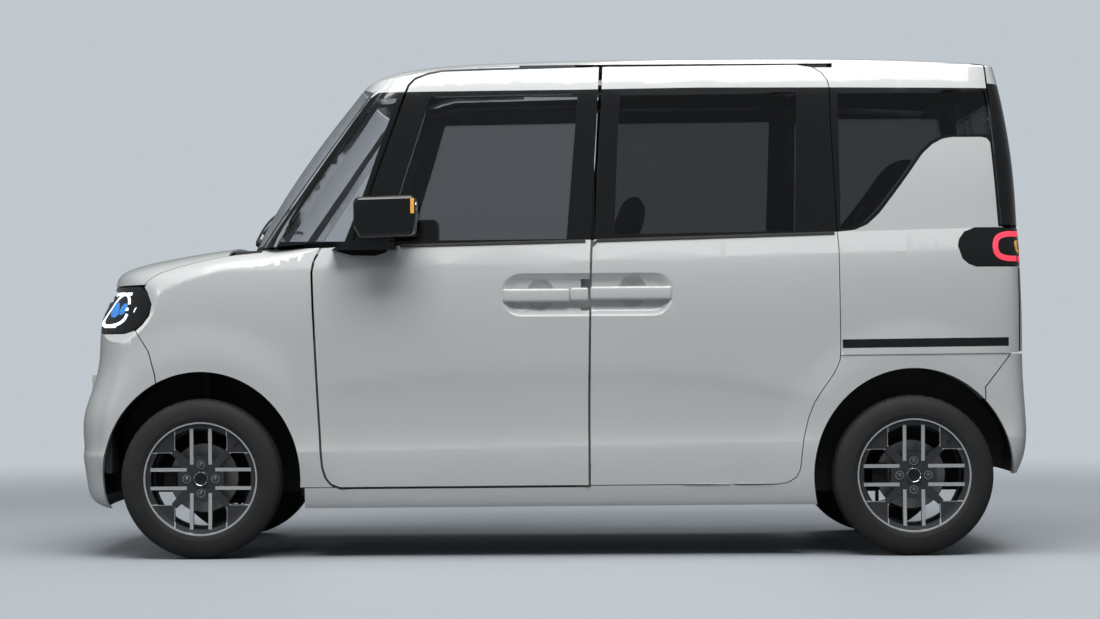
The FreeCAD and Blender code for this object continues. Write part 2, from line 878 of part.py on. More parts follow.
def make_bonnet():
    above = box(FRONT_X - OVERRUN, 0, -WIDTH, WIDTH, at_height(BONNET_EDGE_SHARE), HEIGHT)
    block = walled(lower_body, 0.0).common(bonnet_region()).common(above)
    inner = walled(lower_body, BONNET_DEPTH)
    behind_skin = walled(lower_body, BONNET_SKIN).cut(bonnet_region(BONNET_STEP))
    bonnet = block.cut([behind_skin, inner])
    for y in (-BONNET_HINGE_Y, BONNET_HINGE_Y):
        knuckle = lid_knuckle(
            BONNET_HINGE_X, y, BONNET_HINGE_Z, BONNET_HINGE_X - 1.4 * HINGE_REACH, BONNET_HINGE_Z + HINGE_WEB, KNUCKLE_HALF
        )
        bonnet = bonnet.fuse(knuckle)
    PARTS["bonnet"] = bonnet


def make_front_skin():
    """Front fenders and bumper, with the lamps and the grille between them."""
    arch = arch_cut(FRONT_WHEEL_X)
    lamp_room = side_prism(HEADLAMP_SHARES, PANEL_GAP, LAMP_INNER_Y - PANEL_GAP)
    middle = box(FRONT_X - OVERRUN, at_length(COWL_REAR_SHARE), -BONNET_HALF - DOOR_GAP, 0, 0, HEIGHT)
    fender = side_prism(FENDER_SHARES, 0.0, DOOR_REACH).cut([arch, lamp_room, front_door_room(), middle])
    PARTS["front_fenders"] = both_sides(wall_part(fender, 0.0, FENDER_THICKNESS, (lower_body,)))
    arches = Part.makeCompound([arch, mirrored(arch)])
    bumper = wall_part(full_prism(FRONT_BUMPER_SHARES).cut(arches), 0.0, BUMPER_THICKNESS, (lower_body,))
    intake = rear_prism(FRONT_INTAKE, FRONT_X - OVERRUN, FRONT_X + 3 * NOSE_BOW)
    PARTS["front_bumper"] = bumper.cut([intake] + plate_holes(FRONT_X - OVERRUN, FRONT_PLATE_Z))
    lamp = side_prism(HEADLAMP_SHARES, 0.0, LAMP_INNER_Y)
    PARTS["headlamps"] = both_sides(wall_part(lamp, 0.0, LAMP_DEPTH, (lower_body,)))
    band = box(
        FRONT_X - OVERRUN,
        FRONT_X + 3 * NOSE_BOW,
        -LAMP_INNER_Y + PANEL_GAP,
        LAMP_INNER_Y - PANEL_GAP,
        at_height(FRONT_BUMPER_SHARES[0][1]) + PANEL_GAP,
        at_height(BONNET_EDGE_SHARE) - PANEL_GAP,
    )
    grille = wall_part(band, GRILLE_SET, GRILLE_SET + GRILLE_THICKNESS, (lower_body,))
    PARTS["grille"] = grille.cut(grille_slots())


def plate_holes(x, z):
    """The two screw holes of a number plate."""
    return [
        Part.makeCylinder(
            PLATE_HOLE_RADIUS, 3 * OVERRUN, vec(x, side * PLATE_HOLE_SPACING / 2, z), vec(1, 0, 0)
        )
        for side in (-1, 1)
    ]


def grille_slots():
    """Long slots between the grille's bars."""
    low = at_height(FRONT_BUMPER_SHARES[0][1]) + PANEL_GAP + GRILLE_BORDER
    high = at_height(BONNET_EDGE_SHARE) - PANEL_GAP - GRILLE_BORDER
    pitch = (high - low + GRILLE_BORDER) / GRILLE_SLOTS
    reach = LAMP_INNER_Y - PANEL_GAP - GRILLE_BORDER
    return [
        box(
            FRONT_X - OVERRUN,
            FRONT_X + 3 * NOSE_BOW,
            -reach,
            reach,
            low + k * pitch,
            low + (k + 1) * pitch - GRILLE_BORDER,
        )
        for k in range(GRILLE_SLOTS)
    ]


# Tailgate: hinged under the roof's rear edge
TAILGATE_GAP = 6.0
REAR_BUMPER_THICKNESS = 16.0
APERTURE_X = 1508.0
REAR_SILL_Z = 300.0
HEADER_X = 1466.0
HEADER_HALF = 640.0
STAY_Y = 340.0
STAY_WIDTH = 60.0
STAY_LOW = 420.0
TAILGATE_HINGE_X = 1560.0
TAILGATE_HINGE_Z = 1738.0
TAILGATE_HINGE_Y = 420.0
TAILGATE_STEP = 34.0
TAILGATE_MID_HALF = 560.0
LAMP_REAR_INNER_Y = TAILGATE_MID_HALF + DOOR_GAP
TAILGATE_WINDOW = [(-575.0, 1165.0), (575.0, 1165.0), (535.0, 1610.0), (-535.0, 1610.0)]
APERTURE_HALF = 540.0
APERTURE_LOW = 660.0
APERTURE_HIGH = 1655.0


def tailgate_region(inset=0.0):
    """The tailgate as seen from the end: full width at its window, and narrower between and below the lamps."""
    upper = full_prism(TAILGATE_UPPER_SHARES, -inset)
    lower = full_prism(TAILGATE_LOWER_SHARES, -inset)
    half = TAILGATE_MID_HALF - inset
    low = at_height(TAILGATE_LOWER_SHARES[1][1]) + inset
    front = at_length(TAILGATE_UPPER_SHARES[2][0])
    high = at_height(TAILGATE_UPPER_SHARES[5][1]) + 2 * abs(inset)
    middle = box(front, REAR_X + OVERRUN, -half, half, low, high)
    return joined([upper, middle, lower])


def make_tailgate():
    region = tailgate_region()
    core = tailgate_region(TAILGATE_STEP)
    tailgate = stepped_door(region, core, DOOR_THICKNESS)
    tailgate = tailgate.cut(rear_prism(TAILGATE_WINDOW, 0.0, REAR_X + OVERRUN))
    for y in (-TAILGATE_HINGE_Y, TAILGATE_HINGE_Y):
        pocket = box(
            TAILGATE_HINGE_X - HINGE_REACH * 2,
            TAILGATE_HINGE_X + HINGE_POCKET,
            y - HINGE_POCKET_HALF,
            y + HINGE_POCKET_HALF,
            TAILGATE_HINGE_Z - HINGE_REACH * 3,
            HEIGHT,
        )
        knuckle = lid_knuckle(
            TAILGATE_HINGE_X, y, TAILGATE_HINGE_Z, TAILGATE_HINGE_X + HINGE_REACH / 2, TAILGATE_HINGE_Z - HINGE_WEB, KNUCKLE_HALF
        )
        tailgate = tailgate.cut(pocket).fuse(knuckle)
    PARTS["tailgate"] = tailgate.cut(plate_holes(REAR_X - 2 * OVERRUN, REAR_PLATE_Z))
    pane = rear_prism([(y - math.copysign(FIT, y), z) for y, z in TAILGATE_WINDOW], 0.0, REAR_X + OVERRUN)
    above = box(0, REAR_X + OVERRUN, -WIDTH, WIDTH, TAILGATE_WINDOW[0][1] + FIT, TAILGATE_WINDOW[2][1] - FIT)
    tail_pane = pane.common(above).cut(box(0, TAILGATE_HINGE_X - OVERRUN, -WIDTH, WIDTH, 0, HEIGHT))
    PARTS["tailgate_glass"] = wall_part(tail_pane, GLASS_SET, GLASS_SET + SCREEN_THICKNESS, (cabin_body,))


def tailgate_hinge_arms(y):
    """The body's half of a tailgate hinge: two swan-neck arms up from the frame, with the pin between them."""
    x = TAILGATE_HINGE_X
    z = TAILGATE_HINGE_Z
    w = BARREL_RADIUS
    outline = [
        (x - 10 * w, APERTURE_HIGH + w),
        (x - 3 * w, APERTURE_HIGH + w),
        (x - w, z - 6 * w),
        (x + w, z - 2 * w),
        (x + w, z + w / 2),
        (x - w, z + w / 2),
        (x - 2 * w, z - 3 * w),
        (x - 10 * w, APERTURE_HIGH + 4 * w),
    ]
    arms = []
    for sign in (-1, 1):
        near = y + sign * (KNUCKLE_HALF + FIT)
        face = face_of([vec(px, near, pz) for px, pz in outline])
        arms.append(face.extrude(vec(0, sign * HINGE_ARM, 0)))
    return joined(arms + [across_pin(PIN_RADIUS, x, y, z, KNUCKLE_HALF + HINGE_ARM)])


def make_tail():
    """Rear bumper, tail lamps, and the frame that the tailgate closes on."""
    arch = arch_cut(REAR_WHEEL_X)
    arches = Part.makeCompound([arch, mirrored(arch)])
    bumper = wall_part(full_prism(REAR_BUMPER_SHARES).cut(arches), 0.0, REAR_BUMPER_THICKNESS, (lower_body,))
    PARTS["rear_bumper"] = bumper
    lamp = side_prism(TAIL_LAMP_SHARES, 0.0, LAMP_REAR_INNER_Y)
    PARTS["tail_lamps"] = both_sides(wall_part(lamp, 0.0, LAMP_DEPTH, (lower_body,)))
    sill = box(
        APERTURE_X, REAR_X, -HALF_WIDTH, HALF_WIDTH, REAR_SILL_Z, at_height(TAILGATE_LOWER_SHARES[1][1])
    )
    lamp_back = box(
        APERTURE_X,
        REAR_X,
        -HALF_WIDTH,
        -APERTURE_HALF,
        at_height(TAIL_LAMP_SHARES[0][1]) - 2 * LAMP_DEPTH,
        at_height(TAIL_LAMP_SHARES[0][1]) + PANEL_GAP,
    )
    hole = box(APERTURE_X, REAR_X, -APERTURE_HALF, APERTURE_HALF, APERTURE_LOW, APERTURE_HIGH)
    top = box(APERTURE_X, REAR_X, -HALF_WIDTH, HALF_WIDTH, APERTURE_HIGH, APERTURE_HIGH + DOOR_STEP)
    span = joined([sill.cut(hole), lamp_back, mirrored(lamp_back), top])
    frame = wall_part(span, FRAME_DEPTH, RING_DEPTH)
    header = box(HEADER_X, at_length(ROOF_SHARES[8][0]), -HEADER_HALF, HEADER_HALF, APERTURE_HIGH, HEIGHT)
    frame = frame.fuse(walled(cabin_body, ROOF_THICKNESS + FIT).common(header))
    stays = [
        box(
            APERTURE_X + FRAME_DEPTH,
            REAR_X,
            min(y, y + STAY_WIDTH),
            max(y, y + STAY_WIDTH),
            STAY_LOW,
            STAY_LOW + STAY_WIDTH,
        )
        for y in (-STAY_Y, STAY_Y - STAY_WIDTH)
    ]
    frame = frame.fuse([stay.common(walled(lower_body, REAR_BUMPER_THICKNESS + FIT)) for stay in stays])
    house = arch_cut(REAR_WHEEL_X, TUNNEL_ROOM, REAR_TUNNEL_Y - FIT)
    neighbours = [PARTS[name] for name in ("body_side_left", "body_side_right", "roof")]
    frame = frame.cut([house, mirrored(house)] + neighbours)
    for y in (-TAILGATE_HINGE_Y, TAILGATE_HINGE_Y):
        frame = frame.fuse(tailgate_hinge_arms(y))
    PARTS["tailgate_frame"] = frame


# Cowl: the tray between the bonnet and the windscreen
COWL_DEPTH = 44.0


def make_cowl():
    front = at_length(BONNET_REAR_SHARE) + COWL_GAP
    rear = at_length(COWL_REAR_SHARE)
    low = belt_height(front) - COWL_DEPTH
    tray = walled(lower_body, FIT).common(box(front, rear, -BONNET_HALF, BONNET_HALF, low, HEIGHT))
    foot = box(FRONT_X, rear, -BONNET_HALF, BONNET_HALF, 0, at_height(WINDSCREEN_SHARES[0][1]) - FIT)
    strip = wall_part(foot, 0.0, ROOF_THICKNESS, (cabin_body,))
    cowl = tray.fuse(strip).cut([PARTS["body_side_left"], PARTS["body_side_right"]])
    PARTS["cowl"] = cowl


# Underbody: one folded sheet makes the bulkhead, the floor and the raised load floor
TUB_WALL = 20.0
TUB_SHARES = [
    (-0.3040, 0.5830),
    (-0.3040, 0.3600),
    (-0.2780, 0.1800),
    (-0.2500, 0.1470),
    (0.1900, 0.1470),
    (0.2150, 0.2400),
    (0.3000, 0.2520),
    (0.5200, 0.2520),
    (0.5200, 0.5830),
]


def make_floor():
    room = side_face(TUB_SHARES)
    walls = side_face(TUB_SHARES, TUB_WALL).cut(room)
    walls.translate(vec(0, -HALF_WIDTH, 0))
    tub = walls.extrude(vec(0, WIDTH, 0))
    tub = tub.common(box(FRONT_X, REAR_X, -HALF_WIDTH, HALF_WIDTH, 0, at_height(TUB_SHARES[0][1])))
    tub = tub.common(walled(lower_body, RING_DEPTH + FIT))
    for wheel_x, tunnel in ((FRONT_WHEEL_X, FRONT_TUNNEL_Y), (REAR_WHEEL_X, REAR_TUNNEL_Y)):
        house = arch_cut(wheel_x, TUNNEL_ROOM, tunnel - FIT)
        tub = tub.cut([house, mirrored(house)])
    PARTS["floor_pan"] = tub.cut([PARTS["tailgate_frame"], PARTS["cowl"]])


STRUT_PIN_Y = 530.0
STRUT_PIN_Z = 850.0
STRUT_BALL = 22.0
STRUT_RADIUS = 20.0
LOWER_BALL_Y = 560.0
LOWER_BALL_Z = 190.0
LOWER_BALL = 14.0
AXLE_TUNNEL_HOLE = 78.0
STRUT_HOLE = 95.0


def make_liners():
    liners = []
    for wheel_x, tunnel, depth in (
        (FRONT_WHEEL_X, FRONT_TUNNEL_Y, BUMPER_THICKNESS + FIT),
        (REAR_WHEEL_X, REAR_TUNNEL_Y, RING_DEPTH + FIT),
    ):
        shell = arch_cut(wheel_x, LINER_TUCK + LINER_THICKNESS, tunnel)
        shell = shell.cut(arch_cut(wheel_x, LINER_TUCK, tunnel + LINER_THICKNESS))
        floor = box(FRONT_X, REAR_X, -WIDTH, 0, AXLE_Z - LINER_BELOW_AXLE, HEIGHT)
        shell = shell.common(floor).common(walled(lower_body, depth))
        holes = [
            Part.makeCylinder(
                AXLE_TUNNEL_HOLE, HALF_WIDTH, vec(wheel_x, -WIDTH / 3 * 2, AXLE_Z), vec(0, 1, 0)
            ),
        ]
        if wheel_x == FRONT_WHEEL_X:
            holes.append(Part.makeCylinder(STRUT_HOLE / 2, HEIGHT, vec(wheel_x, -STRUT_PIN_Y, AXLE_Z)))
        liners.append(shell.cut(holes))
    PARTS["wheel_arch_liners_left"] = Part.makeCompound(liners)
    PARTS["wheel_arch_liners_right"] = mirrored(PARTS["wheel_arch_liners_left"])


# Front end under the bonnet
RAIL_INNER_Y = 300.0
RAIL_LOW = 400.0
RAIL_HIGH = 470.0
RAIL_FRONT_SHARE = -0.4730
APRON_WALL = 12.0
APRON_TOP = 880.0
APRON_FRONT_SHARE = -0.4500
TOWER_HALF = 60.0
TOWER_OUTER_Y = 585.0
TOWER_PLATE = 30.0
UPPER_RAIL_LOW = 900.0
UPPER_RAIL_HIGH = 930.0
UPPER_RAIL_REAR_SHARE = -0.2560
CROSS_LOW = 178.0
CROSS_HIGH = 240.0
CROSS_FRONT_OFFSET = 50.0
CROSS_BACK_OFFSET = 115.0
PANEL_FRONT_SHARE = -0.4640
PANEL_DEPTH = 32.0
PANEL_LOW = 300.0
PANEL_HIGH = 900.0


def make_front_chassis():
    """Rails, inner aprons, strut towers, upper rails, cross-member, and the panel that carries the lamps."""
    apron_outer = FRONT_TUNNEL_Y - FIT
    apron_inner = apron_outer - APRON_WALL
    rear = at_length(TUB_SHARES[0][0])
    front = at_length(RAIL_FRONT_SHARE)
    tower_x = FRONT_WHEEL_X
    cap = STRUT_PIN_Z - TOWER_PLATE / 6
    pieces = [
        box(front, rear, -apron_outer, -RAIL_INNER_Y, RAIL_LOW, RAIL_HIGH),
        box(at_length(APRON_FRONT_SHARE), rear, -apron_outer, -apron_inner, RAIL_LOW, APRON_TOP),
        box(tower_x - TOWER_HALF, tower_x + TOWER_HALF, -TOWER_OUTER_Y, -apron_inner, cap, cap + TOWER_PLATE),
    ]
    uppers = [
        box(
            tower_x - TOWER_HALF,
            tower_x + TOWER_HALF,
            -HALF_WIDTH,
            -apron_inner,
            APRON_TOP - TOWER_PLATE,
            UPPER_RAIL_HIGH,
        ),
        box(
            at_length(PANEL_FRONT_SHARE), tower_x, -HALF_WIDTH, -apron_outer, UPPER_RAIL_LOW, UPPER_RAIL_HIGH
        ),
        box(
            tower_x,
            at_length(UPPER_RAIL_REAR_SHARE),
            -HALF_WIDTH,
            -TOWER_OUTER_Y,
            UPPER_RAIL_LOW,
            UPPER_RAIL_HIGH,
        ),
    ]
    chassis = joined(pieces + [joined(uppers).common(walled(lower_body, FENDER_THICKNESS + FIT))])
    socket = Part.makeSphere(STRUT_BALL + FIT, vec(tower_x, -STRUT_PIN_Y, STRUT_PIN_Z))
    arms = []
    for sign in (-1, 1):
        near = -BONNET_HINGE_Y + sign * (KNUCKLE_HALF + FIT)
        far = near + sign * HINGE_ARM
        arms.append(
            box(
                BONNET_HINGE_X - BARREL_RADIUS,
                BONNET_HINGE_X + BARREL_RADIUS,
                min(near, far),
                max(near, far),
                APRON_TOP,
                BONNET_HINGE_Z + BARREL_RADIUS / 2,
            )
        )
    pin = across_pin(PIN_RADIUS, BONNET_HINGE_X, -BONNET_HINGE_Y, BONNET_HINGE_Z, KNUCKLE_HALF + HINGE_ARM)
    chassis = joined([chassis.cut(socket), pin] + arms)
    both = chassis.fuse(mirrored(chassis))
    panel_x = at_length(PANEL_FRONT_SHARE)
    panel = box(panel_x, panel_x + PANEL_DEPTH, -BONNET_HALF, BONNET_HALF, PANEL_LOW, PANEL_HIGH)
    window = box(
        panel_x,
        panel_x + PANEL_DEPTH,
        -RAIL_INNER_Y,
        RAIL_INNER_Y,
        PANEL_LOW + PANEL_DEPTH,
        PANEL_HIGH - PANEL_DEPTH,
    )
    cross = box(
        FRONT_WHEEL_X + CROSS_FRONT_OFFSET,
        FRONT_WHEEL_X + CROSS_BACK_OFFSET,
        -FRONT_TUNNEL_Y + APRON_WALL,
        FRONT_TUNNEL_Y - APRON_WALL,
        CROSS_LOW,
        CROSS_HIGH,
    )
    posts = [
        box(
            FRONT_WHEEL_X + CROSS_FRONT_OFFSET,
            FRONT_WHEEL_X + CROSS_BACK_OFFSET,
            min(sign * RAIL_INNER_Y, sign * (FRONT_TUNNEL_Y - APRON_WALL)),
            max(sign * RAIL_INNER_Y, sign * (FRONT_TUNNEL_Y - APRON_WALL)),
            CROSS_HIGH - FIT,
            RAIL_LOW + FIT,
        )
        for sign in (-1, 1)
    ]
    middle = joined([panel.cut(window), cross] + posts).common(walled(lower_body, BUMPER_THICKNESS + FIT))
    rails = box(FRONT_X, rear, -apron_outer, apron_outer, 0, APRON_TOP)
    inner_ends = both.common(rails).common(walled(lower_body, BUMPER_THICKNESS + FIT))
    both = joined([both.cut(rails), inner_ends, middle])
    tow_thread = Part.makeCylinder(
        TOW_THREAD_RADIUS, TOW_THREAD_LENGTH, vec(front, (RAIL_INNER_Y + apron_outer) / 2, (RAIL_LOW + RAIL_HIGH) / 2), vec(
            1, 0, 0
        )
    )
    neighbours = (
        "floor_pan",
        "headlamps",
        "grille",
        "body_side_left",
        "body_side_right",
        "wheel_arch_liners_left",
        "wheel_arch_liners_right",
    )
    both = both.cut([tow_thread] + [PARTS[name] for name in neighbours])
    rails = [box(FRONT_X, rear, min(y, 0), max(y, 0), RAIL_LOW, RAIL_HIGH) for y in (-HALF_WIDTH, HALF_WIDTH)]
    panel_back = panel_x + PANEL_DEPTH
    lamp_panel = both.common(box(FRONT_X, panel_back, -HALF_WIDTH, HALF_WIDTH, 0, HEIGHT)).cut(rails)
    crossmember = both.common(box(panel_back, rear, -HALF_WIDTH, HALF_WIDTH, 0, RAIL_LOW))
    rest = both.cut([lamp_panel, crossmember])
    PARTS["lamp_panel"] = lamp_panel
    PARTS["crossmember"] = crossmember
    PARTS["front_rail_left"] = rest.common(box(FRONT_X, REAR_X, -HALF_WIDTH, 0, 0, HEIGHT))
    PARTS["front_rail_right"] = rest.common(box(FRONT_X, REAR_X, 0, HALF_WIDTH, 0, HEIGHT))
    PARTS["lower_arms"] = both_sides(lower_arm())


TOW_THREAD_RADIUS = 8.0
TOW_THREAD_LENGTH = 60.0
ARM_THICKNESS = 16.0
ARM_END = 22.0


def lower_arm():
    """A flat wishbone from the cross-member out to the ball joint under the hub."""
    root_y = -FRONT_TUNNEL_Y + APRON_WALL
    low = LOWER_BALL_Z - ARM_THICKNESS / 2
    outline = [
        (FRONT_WHEEL_X + CROSS_FRONT_OFFSET, root_y),
        (FRONT_WHEEL_X + CROSS_BACK_OFFSET, root_y),
        (FRONT_WHEEL_X + ARM_END * 0.7, -LOWER_BALL_Y + ARM_END * 0.7),
        (FRONT_WHEEL_X - ARM_END * 0.9, -LOWER_BALL_Y + ARM_END * 0.5),
    ]
    plate = face_of([vec(x, y, low) for x, y in outline]).extrude(vec(0, 0, ARM_THICKNESS))
    eye = Part.makeCylinder(ARM_END, ARM_THICKNESS, vec(FRONT_WHEEL_X, -LOWER_BALL_Y, low))
    ball = Part.makeSphere(LOWER_BALL + FIT, vec(FRONT_WHEEL_X, -LOWER_BALL_Y, LOWER_BALL_Z))
    return plate.fuse(eye).cut(ball)


ENGINE_FRONT_SHARE = -0.4430
ENGINE_REAR_SHARE = -0.3480
ENGINE_HALF = 270.0
ENGINE_LOW = 270.0
ENGINE_HIGH = 860.0
ENGINE_MOUNT = 46.0


def make_engine():
    """The engine and gearbox as one plain block with chamfered edges, held on the rails by two mounts."""
    block = box(
        at_length(ENGINE_FRONT_SHARE),
        at_length(ENGINE_REAR_SHARE),
        -ENGINE_HALF,
        ENGINE_HALF,
        ENGINE_LOW,
        ENGINE_HIGH,
    )
    block = block.makeChamfer(
        ENGINE_MOUNT, [e for e in block.Edges if abs(e.tangentAt(e.FirstParameter).y) > 0.5]
    )
    middle = (at_length(ENGINE_FRONT_SHARE) + at_length(ENGINE_REAR_SHARE)) / 2
    mount = box(
        middle - ENGINE_MOUNT, middle + ENGINE_MOUNT, -RAIL_INNER_Y, RAIL_INNER_Y, RAIL_LOW, RAIL_HIGH
    )
    PARTS["engine_block"] = block.fuse(mount)


# Wheels, hubs and brakes, each made for the near side with its outer face towards -Y
RIM_SECTION = [
    (SPINDLE_RADIUS + RUNNING_FIT, 0.0),
    (HUB_RADIUS, 0.0),
    (72.0, 40.0),
    (172.0, 42.0),
    (167.0, 20.0),
    (167.0, -20.0),
    (179.0, -50.0),
    (184.0, -70.0),
    (193.0, -76.0),
    (RIM_RADIUS, -76.0),
    (RIM_RADIUS, -69.0),
    (192.0, -65.0),
    (188.0, -50.0),
    (175.0, -20.0),
    (175.0, 20.0),
    (188.0, 46.0),
    (192.0, 65.0),
    (RIM_RADIUS, 69.0),
    (RIM_RADIUS, 76.0),
    (194.0, 76.0),
    (188.0, 66.0),
    (178.0, 63.0),
    (72.0, 57.0),
    (44.0, 55.0),
    (SPINDLE_RADIUS + RUNNING_FIT, 55.0),
]
TYRE_BEAD_RADIUS = 192.3
SPOKE_INNER = 26.0
SPOKE_OUTER = 39.0
SLOT_OUTER = 91.0
SLOT_ROOT = 80.0
SLOT_CHAMFER_LOW = 62.0
SLOT_CHAMFER_HIGH = 106.0
WINDOW_RADIUS = 176.0
SPOKE_ARMS = 4


def ring_section(points, wheel_x, wheel_y):
    """A section of radius against distance outboard of the wheel's middle, turned about the axle."""
    face = face_of([vec(wheel_x, wheel_y - w, AXLE_Z + r) for r, w in points])
    return face.revolve(vec(wheel_x, wheel_y, AXLE_Z), vec(0, 1, 0), 360)


def rim_windows(wheel_x, wheel_y):
    """Slots between and beside each pair of parallel spokes, four times round."""
    outlines = [
        [
            (-SPOKE_INNER, SLOT_ROOT),
            (SPOKE_INNER, SLOT_ROOT),
            (SPOKE_INNER, RIM_RADIUS),
            (-SPOKE_INNER, RIM_RADIUS),
        ],
        [
            (SPOKE_OUTER, SLOT_CHAMFER_LOW),
            (SLOT_OUTER, SLOT_CHAMFER_HIGH),
            (SLOT_OUTER, RIM_RADIUS),
            (SPOKE_OUTER, RIM_RADIUS),
        ],
    ]
    outlines.append([(-u, v) for u, v in outlines[1]])
    limit = Part.makeCylinder(WINDOW_RADIUS, TYRE_WIDTH, vec(wheel_x, wheel_y, AXLE_Z), vec(0, -1, 0))
    windows = []
    for k in range(SPOKE_ARMS):
        for outline in outlines:
            face = face_of([vec(wheel_x + u, wheel_y, AXLE_Z + v) for u, v in outline])
            face.rotate(vec(wheel_x, wheel_y, AXLE_Z), vec(0, 1, 0), k * 360 / SPOKE_ARMS)
            windows.append(face.extrude(vec(0, -TYRE_WIDTH, 0)).common(limit))
    return windows


def make_rim(wheel_x, wheel_y):
    rim = ring_section(RIM_SECTION, wheel_x, wheel_y).cut(rim_windows(wheel_x, wheel_y))
    holes = []
    for k in range(WHEEL_BOLTS):
        angle = 2 * math.pi * k / WHEEL_BOLTS
        place = vec(
            wheel_x + BOLT_CIRCLE / 2 * math.cos(angle),
            wheel_y + OVERRUN,
            AXLE_Z + BOLT_CIRCLE / 2 * math.sin(angle),
        )
        holes.append(Part.makeCylinder(BOLT_HOLE_RADIUS, 2 * TYRE_WIDTH, place, vec(0, -1, 0)))
    return rim.cut(holes)


TYRE_SECTION_SHARES = [(0.76, 0.0), (0.9, 0.35), (1.0, 0.62), (0.985, 0.8), (0.86, 0.93), (0.72, 1.0)]


def make_tyre(wheel_x, wheel_y):
    """Tyre section: bead seat, rounded side walls and a nearly flat tread."""
    half = TYRE_WIDTH / 2
    rise = TYRE_RADIUS - TYRE_BEAD_RADIUS
    side = [(TYRE_BEAD_RADIUS + h * rise, w * half) for w, h in TYRE_SECTION_SHARES]
    points = [(r, -w) for r, w in side] + [(r, w) for r, w in side[::-1]]
    return ring_section(points, wheel_x, wheel_y)


BELL_RADIUS = 70.0
DISC_INNER_OFFSET = 42.0
DISC_OUTER_OFFSET = 30.0


def make_disc(wheel_x, wheel_y):
    section = [
        (SPINDLE_RADIUS + RUNNING_FIT, -DISC_INNER_OFFSET),
        (DISC_RADIUS, -DISC_INNER_OFFSET),
        (DISC_RADIUS, -DISC_OUTER_OFFSET),
        (BELL_RADIUS, -DISC_OUTER_OFFSET),
        (BELL_RADIUS, 0.0),
        (SPINDLE_RADIUS + RUNNING_FIT, 0.0),
    ]
    return ring_section(section, wheel_x, wheel_y)


def make_wheels():
    for end, wheel_x in (("front", FRONT_WHEEL_X), ("rear", REAR_WHEEL_X)):
        for name, make in (("tyre", make_tyre), ("rim", make_rim), ("brake_disc", make_disc)):
            piece = make(wheel_x, -WHEEL_Y)
            PARTS["%s_%s_left" % (name, end)] = piece
            PARTS["%s_%s_right" % (name, end)] = mirrored(piece)


CARRIER_RADIUS = 46.0
CARRIER_INNER_Y = 560.0
CARRIER_OUTER_Y = 592.0
SPINDLE_END_Y = 668.0
STRUT_LOW = 320.0
LINK_HALF = 18.0
CALIPER_INNER_RADIUS = 84.0
CALIPER_OUTER_RADIUS = 138.0
CALIPER_HALF_HEIGHT = 40.0
CALIPER_WALL = 14.0
CALIPER_SLOT = 5.0


def spindle(wheel_x):
    """A hub carrier with the stub that the wheel turns on."""
    carrier = Part.makeCylinder(
        CARRIER_RADIUS, CARRIER_OUTER_Y - CARRIER_INNER_Y, vec(wheel_x, -CARRIER_INNER_Y, AXLE_Z), vec(
            0, -1, 0
        )
    )
    stub = Part.makeCylinder(
        SPINDLE_RADIUS, SPINDLE_END_Y - CARRIER_INNER_Y, vec(wheel_x, -CARRIER_INNER_Y, AXLE_Z), vec(0, -1, 0)
    )
    return carrier.fuse(stub)


def caliper(wheel_x, back):
    """A brake caliper over the disc's front or rear edge, with a foot back to the hub carrier."""
    inner = WHEEL_Y - DISC_INNER_OFFSET - CALIPER_SLOT
    outer = WHEEL_Y - DISC_OUTER_OFFSET + CALIPER_SLOT
    sign = 1 if back else -1
    near = wheel_x + sign * CALIPER_INNER_RADIUS
    far = wheel_x + sign * CALIPER_OUTER_RADIUS
    body = box(
        min(near, far), max(near, far), -outer - CALIPER_WALL, -inner + CALIPER_WALL, AXLE_Z - CALIPER_HALF_HEIGHT, AXLE_Z + CALIPER_HALF_HEIGHT
    )
    room = Part.makeCylinder(
        DISC_RADIUS + CALIPER_SLOT, outer - inner, vec(wheel_x, -inner, AXLE_Z), vec(0, -1, 0)
    )
    foot = box(
        min(wheel_x, far), max(wheel_x, far), -inner, -CARRIER_INNER_Y, AXLE_Z - LINK_HALF, AXLE_Z + LINK_HALF
    )
    return body.cut(room).fuse(foot)


def make_knuckles():
    """Front hub carrier, strut and caliper, which turn together about the strut top and the lower ball joint."""
    x = FRONT_WHEEL_X
    link = box(
        x - LINK_HALF,
        x + LINK_HALF,
        -CARRIER_OUTER_Y,
        -STRUT_PIN_Y,
        AXLE_Z - LINK_HALF,
        STRUT_LOW + 2 * LINK_HALF,
    )
    strut = Part.makeCylinder(STRUT_RADIUS, STRUT_PIN_Z - STRUT_LOW, vec(x, -STRUT_PIN_Y, STRUT_LOW))
    foot = Part.makeCone(
        LOWER_BALL / 2, LINK_HALF, AXLE_Z - LOWER_BALL_Z, vec(x, -LOWER_BALL_Y, LOWER_BALL_Z), vec(0, 0, 1)
    )
    foot = foot.common(
        box(x - HALF_WIDTH, x + HALF_WIDTH, -CARRIER_OUTER_Y - LINK_HALF, 0, LOWER_BALL_Z, AXLE_Z)
    )
    pieces = [
        spindle(x),
        link,
        strut,
        foot,
        caliper(x, False),
        Part.makeSphere(STRUT_BALL, vec(x, -STRUT_PIN_Y, STRUT_PIN_Z)),
        Part.makeSphere(LOWER_BALL, vec(x, -LOWER_BALL_Y, LOWER_BALL_Z)),
    ]
    knuckle = joined(pieces)
    PARTS["knuckle_left"] = knuckle
    PARTS["knuckle_right"] = mirrored(knuckle)


BEAM_RADIUS = 27.0
TRAILING_Y = 440.0
TRAILING_HALF = 22.0
TRAILING_FRONT_SHARE = 0.2450
TRAILING_Z = 340.0
SPRING_RADIUS = 42.0
BUSH_RADIUS = 30.0


